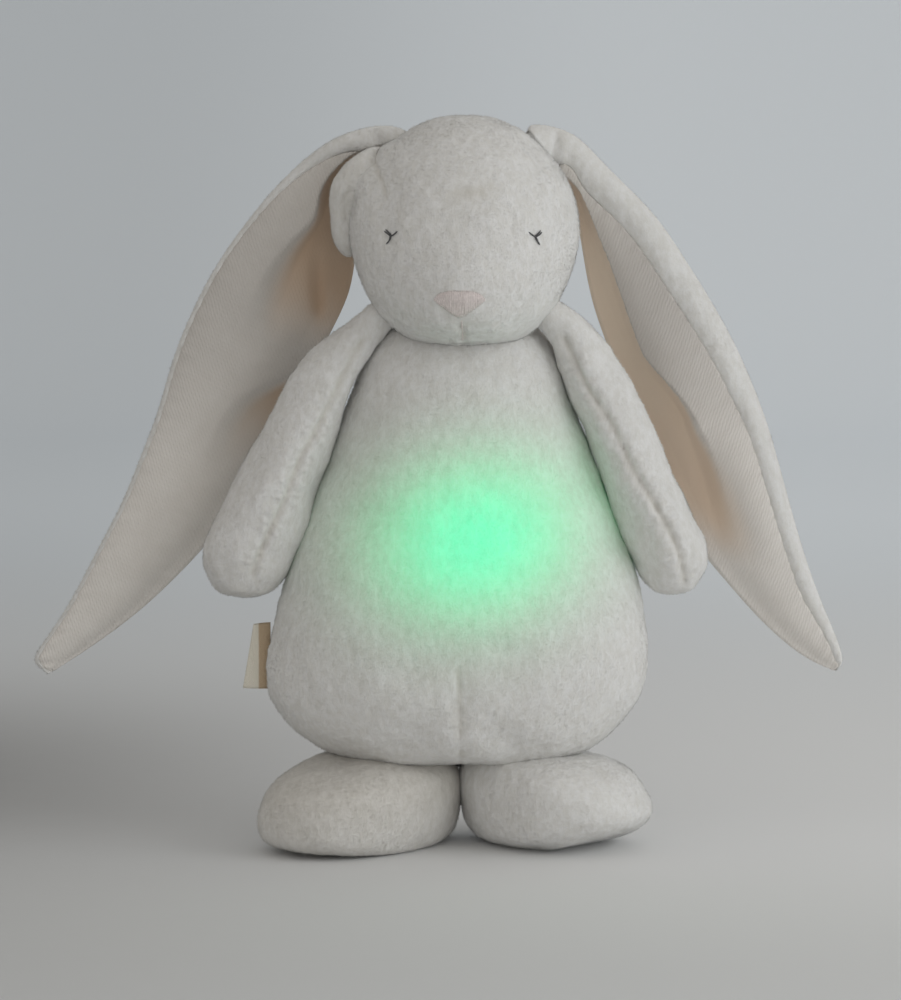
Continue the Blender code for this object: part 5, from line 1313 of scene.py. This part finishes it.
def ear_lining(form, name):
    """The woven lining: from the rim's seam to the inner edge, waved beside the seam, edges turned in."""
    rim, deep, grid = form["rim"], form["deep"], form["front"]
    t = np.linspace(0.0, 1.0, 96)[None, :]
    spot = (rim + (1.0 - rim) * t) * (grid.shape[1] - 1)
    cell = np.minimum(spot.astype(int), grid.shape[1] - 2)
    f = (spot - cell)[..., None]
    row = np.arange(grid.shape[0])[:, None]
    front = grid[row, cell] * (1 - f) + grid[row, cell + 1] * f
    recess = deep[row, cell] * (1 - f[..., 0]) + deep[row, cell + 1] * f[..., 0]
    keep = slice(int(LINING_FROM[name] * len(front)), int(0.975 * len(front)))
    front, recess = front[keep], recess[keep]
    inward = unit(front[:, -1:] - front[:, :1])
    length = arc_length(front[:, 0])
    wave = np.sin(math.tau * length / 0.0064 + 1.4 * np.sin(math.tau * length / 0.023))[:, None]
    from_seam = np.linalg.norm(front - front[:, :1], axis=2)
    ends = np.linspace(0.0, 1.0, len(front))[:, None]
    turned = 1 - smooth_step(0.0, 0.9 * MM, from_seam)
    turned = np.maximum(turned, np.maximum(1 - smooth_step(0, 0.015, ends), smooth_step(0.985, 1, ends)))
    hem = smooth_step(0.965, 1.0, t)
    front[..., 1] += 1.4 * MM * np.maximum(turned, hem)
    front[..., 1] -= 0.40 * MM * wave * bell(from_seam, 0.006) * (1 - turned)
    front += inward * (0.5 * MM * smooth_step(0.93, 1.0, t) * (1 - turned))[..., None]
    return front, recess, float(length[-1])


def ear_joint(name, side):
    """An ear's root as a tuple: two body names, then two points by its pivot."""
    pivot = np.array((HEAD_X + side * EAR_ROOT_OUT, EAR_ROOT_Y, EAR_TOP))
    return ("toy", f"{name}_ear", pivot + (-side * 0.008, 0.0, 0.002), pivot + (side * 0.012, 0.0, -0.020))


class NIGHTLIGHT_OT_ears(bpy.types.Operator):
    """Ears: a velour bag with a turned rim, a woven lining on its front, folded as they hang."""

    bl_idname = "nightlight.ears"
    bl_label = "Ears"

    def execute(self, context):
        for name, side in SIDES:
            form, joint = ear_surface(name, side), ear_joint(name, side)
            around, covered = ear_velour(form)
            back = mesh_piece(f"{name}_ear_velour", *closed_form(around))
            dress(back, joint, [f"{name}_ear_back"])
            keep_value(back, "bare", np.append((covered > 0.3).ravel(), (1.0, 1.0)))
            pile(back, joint, lay=(0.6 * side, 0.0, -1.0))
            front, recess, long = ear_lining(form, name)
            down = np.linspace(0.0, 1.0, len(front))
            # painted shade by the lining's root, row by row: from top at its start to full, then gone past
            # 0.62 of its length
            top = LINING_ROOT_SHADE[name]
            shaded = (1 - smooth_step(0.30, 0.62, down)) * (top + (1 - top) * smooth_step(0.02, 0.26, down))
            lining = grid_piece(f"{name}_ear_woven_lining", front)
            cloth_map(lining, front)
            # how deep each place lies in a fold, where the lining is painted in brown shade
            keep_value(lining, "recess", smooth_step(1.0 * MM, LINING_DEEPEST[name], recess).ravel())
            keep_value(lining, "root", np.repeat(shaded, front.shape[1]))
            thicken(lining, 0.7 * MM)
            dress(lining, joint, [f"{name}_ear_lining"], woven(name, side))
            cells = np.cross(np.diff(front, axis=0)[:, :-1], np.diff(front, axis=1)[:-1])
            area = float(np.linalg.norm(cells, axis=2).sum())
            wide = area / long / LEAF_SHARE
        return {"FINISHED"}


class NIGHTLIGHT_OT_ear_fold(bpy.types.Operator):
    """The inner fold of the right ear, a roll of velour beside the head."""

    bl_idname = "nightlight.ear_fold"
    bl_label = "Ear fold"

    def execute(self, context):
        x, y, z, wide, turned, thick = np.array(LOBE_SECTIONS).T * MM
        flat = 0 * x
        square = thick / np.hypot(wide, turned)
        rows = np.column_stack((x, y, z, wide, turned, flat, -turned * square, wide * square, flat))
        points = rings(rows, 90, 64, 2.3)
        normal = unit(points - points.mean(axis=1, keepdims=True))
        height = nap(points.reshape(-1, 3), context.scene.plush_sizes.pile_lift * 0.8)
        bare = mesh_piece("bare_fold", *closed_form(points))
        line = front_line(bare, LOBE_CREASE)
        bpy.data.objects.remove(bare)
        rise, close = seam(points.reshape(-1, 3), line, 2.0 * MM, 1.1 * MM, 7 * MM)
        points = points + normal * (height + rise).reshape(points.shape[:2])[..., None]
        piece = mesh_piece("right_ear_fold", *closed_form(points))
        # painted shade on the whole fold, at least 0.4, and darker along its crease
        keep_value(piece, "crease", np.append(np.maximum(close, 0.4), (0.4, 0.4)))
        dress(piece, ear_joint("right", -1))
        pile(piece, ear_joint("right", -1))
        return {"FINISHED"}


class NIGHTLIGHT_OT_tag(bpy.types.Operator):
    """Bare ribbon, folded to a loop and sewn into the side seam."""

    bl_idname = "nightlight.tag"
    bl_label = "Side ribbon"

    def execute(self, context):
        path = np.array(((0.4, -0.2), (-2.5, -1.5), (-6.0, -1.9), (-9.5, -1.7), (-10.9, -0.6), (-10.9, 0.6),
                         (-9.6, 1.6), (-6.0, 1.8), (-2.5, 1.3), (0.4, 0.3))) * MM
        path = spline_through(path, 60) * (0.86, 1.0)
        up = np.linspace(-0.5, 0.5, 24)[:, None]
        slant = -path[None, :, 0] / TAG_REACH
        x = TAG_SEAM[0] + path[None, :, 0] + up * slant * 0.0056 + 0.00054 * slant
        z = TAG_SEAM[2] + up * (TAG_WIDTH - 0.0010 * slant) - 0.0004 * slant
        y = TAG_SEAM[1] + path[None, :, 1] + 0.0008 * np.sin(3.0 * up + 2 * slant)
        piece = grid_piece("side_ribbon", np.stack(np.broadcast_arrays(x, y, z), axis=2))
        thicken(piece, 0.55 * MM)
        colour = tuple(context.scene.plush_colours.ribbon)
        # painted shade on the ribbon beside the body
        ribbon = plain_weave("ribbon_weave", colour, 0.0008, (-0.0786, -0.0778))
        dress(piece, "tag", ["side_tag"], ribbon)
        return {"FINISHED"}


class NIGHTLIGHT_OT_flap(bpy.types.Operator):
    """Back flap of padded velour with a stitched hem."""

    bl_idname = "nightlight.flap"
    bl_label = "Back flap"

    def execute(self, context):
        sizes = context.scene.plush_sizes
        edge = outline(FLAP_WIDTH, FLAP_HEIGHT, FLAP_CORNER, 16)
        edge = np.vstack((edge, edge[:1]))
        arc = arc_length(edge)
        even = np.linspace(0.0, arc[-1], 241)[:-1]
        edge = np.column_stack([np.interp(even, arc, edge[:, k]) for k in (0, 1)])
        share = np.append(np.linspace(0.0, FLAP_HEM, 26), 1 - np.linspace(0.37, 0.0, 12) ** 2)
        half = (1 - share ** 14) ** 0.5 * FLAP_HALF
        wave = 0.5 * MM * np.sin(even * math.tau / 0.021) + 0.25 * MM * np.sin(even * math.tau / 0.0073)
        hem = bell(share - FLAP_HEM, 0.03)
        crown = 0.8 * MM * (1 - share ** 2)
        middle = np.array((AXIS_X, FLAP_Y + FLAP_MIDDLE, FLAP_TOP_Z - FLAP_HEIGHT / 2))

        def face(sign):
            flat = edge[None] * share[:, None, None]
            y = sign * half[:, None] + (crown - 0.55 * MM * hem)[:, None] * (sign > 0)
            y = y + 0.35 * wave[None] * share[:, None] ** 6
            y = y - 3.0 * MM * smooth_step(0.90, 1.0, share)[:, None]
            return np.stack((flat[..., 0], np.broadcast_to(y, flat.shape[:2]), flat[..., 1]), axis=2) + middle

        around = np.concatenate((face(1), face(-1)[::-1][1:]), axis=0)
        normal = np.where(np.arange(len(around))[:, None] < len(share), 1.0, -1.0)
        around[..., 1] += normal * nap(around.reshape(-1, 3), sizes.pile_lift * 0.7).reshape(around.shape[:2])
        piece = mesh_piece("flap_velour", *closed_form(around))
        dress(piece, "flap", ["back_flap"])
        keep_value(piece, "bare", points_of(piece)[:, 1] < FLAP_Y + 1.5 * MM)
        pile(piece, "flap")
        path = upright(edge * (FLAP_HEM, 0.905), FLAP_Y + FLAP_MIDDLE + FLAP_HALF + 0.15 * MM, middle[[0, 2]])
        row = stitch_row(path, sizes.stitch_length, 1.3 * MM, 0.28 * MM)
        stitches = mesh_piece("flap_hem_stitches", *joined(row))
        dress(stitches, "flap", material=thread("hem_thread", (0.60, 0.57, 0.50)))
        return {"FINISHED"}


def fastener_strip(name, y_from, y_to, rough):
    """Strip of hooks or loops: a plate whose outer face carries rows of small rounded pegs.

    Its height is a product of two sines raised to a power, in rows one peg apart.
    """
    columns, rows = 145, 43
    border = 0.8 * MM
    x = np.linspace(-0.5, 0.5, columns)[None, :] * STRIP_WIDTH
    z = np.linspace(-0.5, 0.5, rows)[:, None] * STRIP_HEIGHT
    pegs = np.abs(np.sin(math.pi * x / MM) * np.sin(math.pi * z / MM)) ** rough
    edge = smooth_step(0, border, STRIP_WIDTH / 2 - np.abs(x))
    edge = edge * smooth_step(0, border, STRIP_HEIGHT / 2 - np.abs(z))
    y = y_from + (y_to - y_from) * (0.45 + 0.55 * pegs) * edge
    top = np.stack(np.broadcast_arrays(AXIS_X + x, y, STRIP_Z + z), axis=2)
    low = top.copy()
    low[..., 1] = y_from - (y_to - y_from) * 0.05
    faces = grid_faces(rows, columns)
    count = rows * columns
    ring = np.concatenate((np.arange(columns), np.arange(1, rows) * columns + columns - 1,
                           (rows - 1) * columns + np.arange(columns - 2, -1, -1),
                           np.arange(rows - 2, 0, -1) * columns))
    wall = np.stack((ring, np.roll(ring, -1), np.roll(ring, -1) + count, ring + count), axis=1)
    vertices = np.vstack((top.reshape(-1, 3), low.reshape(-1, 3)))
    every = faces.tolist() + (faces[:, ::-1] + count).tolist() + wall[:, ::-1].tolist()
    return mesh_piece(name, vertices, outward(vertices - vertices.mean(axis=0), every))


class NIGHTLIGHT_OT_pocket(bpy.types.Operator):
    """Cotton pocket for the module, its bound mouth and the two fastener strips."""

    bl_idname = "nightlight.pocket"
    bl_label = "Pocket"

    def execute(self, context):
        inset, lip = 0.0006, 0.0030
        tape_wide, tape_thick = 0.0026, 0.0009
        edge = outline(POCKET_WIDTH - inset, POCKET_HEIGHT - inset, POCKET_CORNER, 12)
        turn_y = POCKET_FRONT_Y + POCKET_ROUND + POCKET_GAP
        walls = [upright(edge, y) for y in np.linspace(BACK_Y - 0.0004, turn_y, 26)]
        for t in np.linspace(0.0, math.pi / 2, 7)[1:]:
            scale = 1 - POCKET_ROUND * (1 - math.cos(t)) / (POCKET_WIDTH / 2)
            walls.append(upright(edge * scale, turn_y - POCKET_ROUND * math.sin(t)))
        for scale in np.linspace(0.86, 0.02, 12):
            walls.append(upright(edge * scale, POCKET_FRONT_Y + POCKET_GAP))
        points = np.stack(walls) + (AXIS_X, 0.0, POCKET_Z)
        points[..., 1] += 0.12 * MM * cloud(points.reshape(-1, 3), 9 * MM, 31).reshape(points.shape[:2])
        piece = grid_piece("pocket_lining", points, wrap=True)
        cells = np.cross(np.diff(points, axis=0), np.roll(points, -1, axis=1)[:-1] - points[:-1])
        thicken(piece, 0.5 * MM, 1.0)
        cotton = plain_weave("pocket_cotton", (0.60, 0.58, 0.54), 0.0009)
        dress(piece, "toy", ["module_pouch"], cotton)
        edge = outline(POCKET_WIDTH + lip, POCKET_HEIGHT + lip, POCKET_CORNER + lip / 2, 14)
        mouth = upright(edge, BACK_Y + 0.0001, (AXIS_X, POCKET_Z))
        side = unit(upright(edge, 0.0))
        turns = np.arange(12) * math.tau / 12
        ring = mouth[:, None] + side[:, None] * (tape_wide * np.cos(turns))[None, :, None]
        ring[..., 1] += (tape_thick * np.sin(turns))[None]
        vertices = ring.reshape(-1, 3)
        faces = grid_faces(len(edge) + 1, 12, wrap=True) % len(vertices)
        faces = outward(vertices - vertices.mean(axis=0), faces.tolist())
        binding = mesh_piece("pocket_binding", vertices, faces)
        tape = plain_weave("binding_tape", (0.58, 0.55, 0.48), 0.0011)
        dress(binding, "toy", (), tape)
        closed = np.vstack((mouth, mouth[:1])) + (0.0, tape_thick, 0.0)
        row = stitch_row(closed, context.scene.plush_sizes.stitch_length, 1.4 * MM, 0.25 * MM)
        stitches = mesh_piece("pocket_stitches", *joined(row))
        dress(stitches, "toy", (), bpy.data.materials["hem_thread"])
        nylon = moulded("strip_nylon", (0.66, 0.65, 0.61), 0.8)
        hooks = fastener_strip("hook_field", FLAP_Y - 0.0001, FLAP_Y - 0.0011, 3.0)
        dress(hooks, "flap", ["flap_hook_strip"], nylon)
        loops = fastener_strip("loop_field", BACK_Y + 0.0001, BACK_Y + 0.0011, 0.7)
        dress(loops, "toy", ["body_loop_strip"], nylon)
        return {"FINISHED"}


class NIGHTLIGHT_OT_foam_pad(bpy.types.Operator):
    """Foam pad on the battery: a crowned block, pressed flat where it touches."""

    bl_idname = "nightlight.foam_pad"
    bl_label = "Foam pad"

    def execute(self, context):
        low, high = (np.array(corner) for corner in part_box("battery_pad"))
        middle, half = (low + high) / 2, (high - low) / 2
        turn = np.arange(80) * math.tau / 80
        ring = np.column_stack((signed_power(np.cos(turn), 0.25), 0 * turn, signed_power(np.sin(turn), 0.25)))
        steps = ((0.02, -1.0), (0.5, -1.0), (0.9, -0.98), (0.985, -0.7), (0.97, 0.0), (0.985, 0.7),
                 (0.9, 0.98), (0.5, 1.0), (0.02, 1.0))
        rows = [middle + ring * share * half + (0.0, y * half[1], 0.0) for share, y in steps]
        piece = mesh_piece("foam_pad", *closed_form(np.stack(rows)))
        foam = moulded("foam_cells", (0.045, 0.045, 0.048), 0.95, 500.0, 0.4)
        dress(piece, "toy", ["battery_pad"], foam)
        return {"FINISHED"}


class NIGHTLIGHT_OT_module(bpy.types.Operator):
    """Finishes for the light module's plastic, metal, board and rubber pieces."""

    bl_idname = "nightlight.module"
    bl_label = "Light module"

    def execute(self, context):
        looks = {
            moulded("casing_plastic", (0.62, 0.62, 0.60), 0.45, 1400.0): (
                "front_housing", "rear_housing", "battery_cover"),
            moulded("button_rubber", (0.20, 0.30, 0.28), 0.6, 700.0, 0.2): (
                "power_button", "colour_button", "brightness_button"),
            moulded("black_resin", (0.018, 0.018, 0.020), 0.5, 1100.0, 0.3): (
                "power_switch", "colour_switch", "brightness_switch", "control_chip"),
            moulded("clear_resin", (0.70, 0.70, 0.62), 0.2, 2000.0): ("led_red", "led_blue", "led_white"),
            moulded("battery_wrap", (0.035, 0.085, 0.24), 0.35, 900.0, 0.2, Coat_Weight=0.4): ("battery",),
            moulded("lead_cover", (0.30, 0.012, 0.010), 0.45, 900.0, 0.2): ("light_lead", "battery_lead"),
            brushed("plated_steel", (0.56, 0.56, 0.55)): (
                "housing_screw_1", "housing_screw_2", "housing_screw_3", "housing_screw_4",
                "battery_cover_screw", "charging_socket"),
            circuit_board("green_board"): ("light_board", "main_board", "charging_board"),
            lit_plastic("lit_diffuser", (0.72, 0.74, 0.70), 0.6): ("light_diffuser",),
            lit_plastic("lit_diode", (0.50, 0.80, 0.60), 4.0): ("led_green",),
        }
        for look, names in looks.items():
            for name in names:
                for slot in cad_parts[name].material_slots:
                    slot.material = look
        return {"FINISHED"}


def floor_paper(colour):
    """Paper of the floor and the wall, with painted shade: darker at the toy's right and towards the camera,
    with a wide band of painted shadow at the toy's right.

    The wall gives off a little light of its own, which lights nothing: only the camera sees it,
    straight or by way of shiny and clear things.
    """
    made, tree = start("floor_paper", colour, 0.9)
    spot = place(tree)
    # painted shade: darker towards the toy's right, the more so low down
    side = spot.split(0).step(-0.45, 0.30)
    # painted shadow: a wide band beside the toy at its right
    far = (spot.split(1) - 0.17) / 0.28
    band = (far * far).fades() * (1.0 - spot.split(0).step(-0.34, 0.10))
    # painted shade: the floor darker towards the camera
    near = 1.0 - spot.split(1).step(-0.27, 0.02)
    grain = noise(tree, spot, 60.0, 3.0)
    wall = spot.split(1).step(0.1, 1.3)
    shade = mix(tree, wall, tint(colour, 0.98, 0.96, 0.93), tint(colour, 0.97, 1.0, 1.03))
    low = 0.23 - spot.split(1).step(0.7, 1.9) * 0.07
    shade = mix(tree, side, mix(tree, low, shade, BLACK), shade)
    shade = mix(tree, band * 0.56, shade, (0.05, 0.045, 0.04, 1.0))
    shade = mix(tree, near * 0.15, shade, BLACK)
    feed(tree, Base_Color=mix(tree, grain * 0.04, shade, tint(colour, 0.9)))
    rays = [node(tree, "ShaderNodeLightPath", {}, {}, f"Is {kind} Ray")
            for kind in ("Camera", "Glossy", "Transmission")]
    seen = (rays[0] + rays[1] + rays[2]) * spot.split(1).step(0.5, 1.7) * (0.5 + side * 0.5)
    emit(tree, mix(tree, seen, BLACK, (0.056, 0.060, 0.064, 1.0)))
    return made


def soft_lamp(name, spot, size, power, colour):
    """A square lamp that looks at the toy's middle."""
    lamp = bpy.data.objects.new(name, bpy.data.lights.new(name, "AREA"))
    lamp.data.shape, lamp.data.size = "SQUARE", size
    lamp.data.energy, lamp.data.color = power, colour
    bpy.context.scene.collection.objects.link(lamp)
    way = np.array((0.0, 0.0, 0.14)) - spot
    lamp.location = spot
    lamp.rotation_euler = (math.atan2(math.hypot(way[0], way[1]), -way[2]), 0.0,
                           math.atan2(way[1], way[0]) - math.pi / 2)


class NIGHTLIGHT_OT_stage(bpy.types.Operator):
    """Floor that curves up into a wall, soft studio light and the camera."""

    bl_idname = "nightlight.stage"
    bl_label = "Stage"

    def execute(self, context):
        scene, studio = context.scene, context.scene.studio_settings
        bend = np.linspace(0.0, math.pi / 2, 24)[1:]
        profile = np.vstack((
            np.column_stack((np.linspace(-3.0, 2.6, 28), np.zeros(28))),
            np.column_stack((2.6 + 0.8 * np.sin(bend), 0.8 * (1 - np.cos(bend)))),
            np.column_stack((np.full(12, 3.4), np.linspace(0.95, 5.0, 12))),
        ))
        x = np.linspace(-4.0, 4.0, 30)[None]
        floor = grid_piece("floor", np.stack(np.broadcast_arrays(x, profile[:, :1], profile[:, 1:]), axis=2))
        floor.data.materials.append(floor_paper(tuple(studio.floor)))
        soft_lamp("key", (1.27, -0.62, 0.45), 1.05, studio.key_power, (0.94, 0.98, 1.0))
        soft_lamp("front", (0.2, -1.7, 0.42), 1.2, studio.key_power * 0.36, (0.98, 0.99, 1.0))
        scene.world = bpy.data.worlds.new("studio")
        scene.world.use_nodes = True
        sky = scene.world.node_tree.nodes["Background"]
        sky.inputs["Color"].default_value = (1.0, 0.975, 0.93, 1.0)
        sky.inputs["Strength"].default_value = studio.fill_level
        camera = bpy.data.objects.new("camera", bpy.data.cameras.new("camera"))
        camera.data.lens, camera.data.sensor_width, camera.data.sensor_fit = 135.0, 36.0, "HORIZONTAL"
        raised, far = math.radians(5.0), 1.455
        camera.location = (0.0048, -far * math.cos(raised), 0.1490 + far * math.sin(raised))
        camera.rotation_euler = (math.pi / 2 - raised, 0.0, 0.0)
        scene.collection.objects.link(camera)
        scene.camera = camera
        scene.view_settings.view_transform = "Standard"
        return {"FINISHED"}


STEPS = ("body", "head", "face", "arms", "feet", "ears", "ear_fold", "tag", "flap", "pocket", "foam_pad",
         "module", "stage")


class NIGHTLIGHT_PT_panel(bpy.types.Panel):
    """The steps and their settings."""

    bl_idname = "NIGHTLIGHT_PT_panel"
    bl_label = "Plush night light"
    bl_space_type = "VIEW_3D"
    bl_region_type = "UI"
    bl_category = "Night light"

    def draw(self, context):
        for step in STEPS:
            self.layout.operator(f"nightlight.{step}")
        for group in (context.scene.plush_sizes, context.scene.plush_colours, context.scene.studio_settings):
            box = self.layout.box()
            for name in group.__annotations__:
                box.prop(group, name)


CLASSES = (
    PlushSizes, PlushColours, StudioSettings, NIGHTLIGHT_OT_body, NIGHTLIGHT_OT_head, NIGHTLIGHT_OT_face,
    NIGHTLIGHT_OT_arms, NIGHTLIGHT_OT_feet, NIGHTLIGHT_OT_ears, NIGHTLIGHT_OT_ear_fold, NIGHTLIGHT_OT_tag,
    NIGHTLIGHT_OT_flap, NIGHTLIGHT_OT_pocket, NIGHTLIGHT_OT_foam_pad, NIGHTLIGHT_OT_module,
    NIGHTLIGHT_OT_stage, NIGHTLIGHT_PT_panel,
)


def register():
    for kind in CLASSES:
        bpy.utils.register_class(kind)
    bpy.types.Scene.plush_sizes = bpy.props.PointerProperty(type=PlushSizes)
    bpy.types.Scene.plush_colours = bpy.props.PointerProperty(type=PlushColours)
    bpy.types.Scene.studio_settings = bpy.props.PointerProperty(type=StudioSettings)


def unregister():
    for name in ("plush_sizes", "plush_colours", "studio_settings"):
        delattr(bpy.types.Scene, name)
    for kind in reversed(CLASSES):
        bpy.utils.unregister_class(kind)


def main():
    register()
    for step in STEPS:
        getattr(bpy.ops.nightlight, step)()


if __name__ == "__main__":
    main()
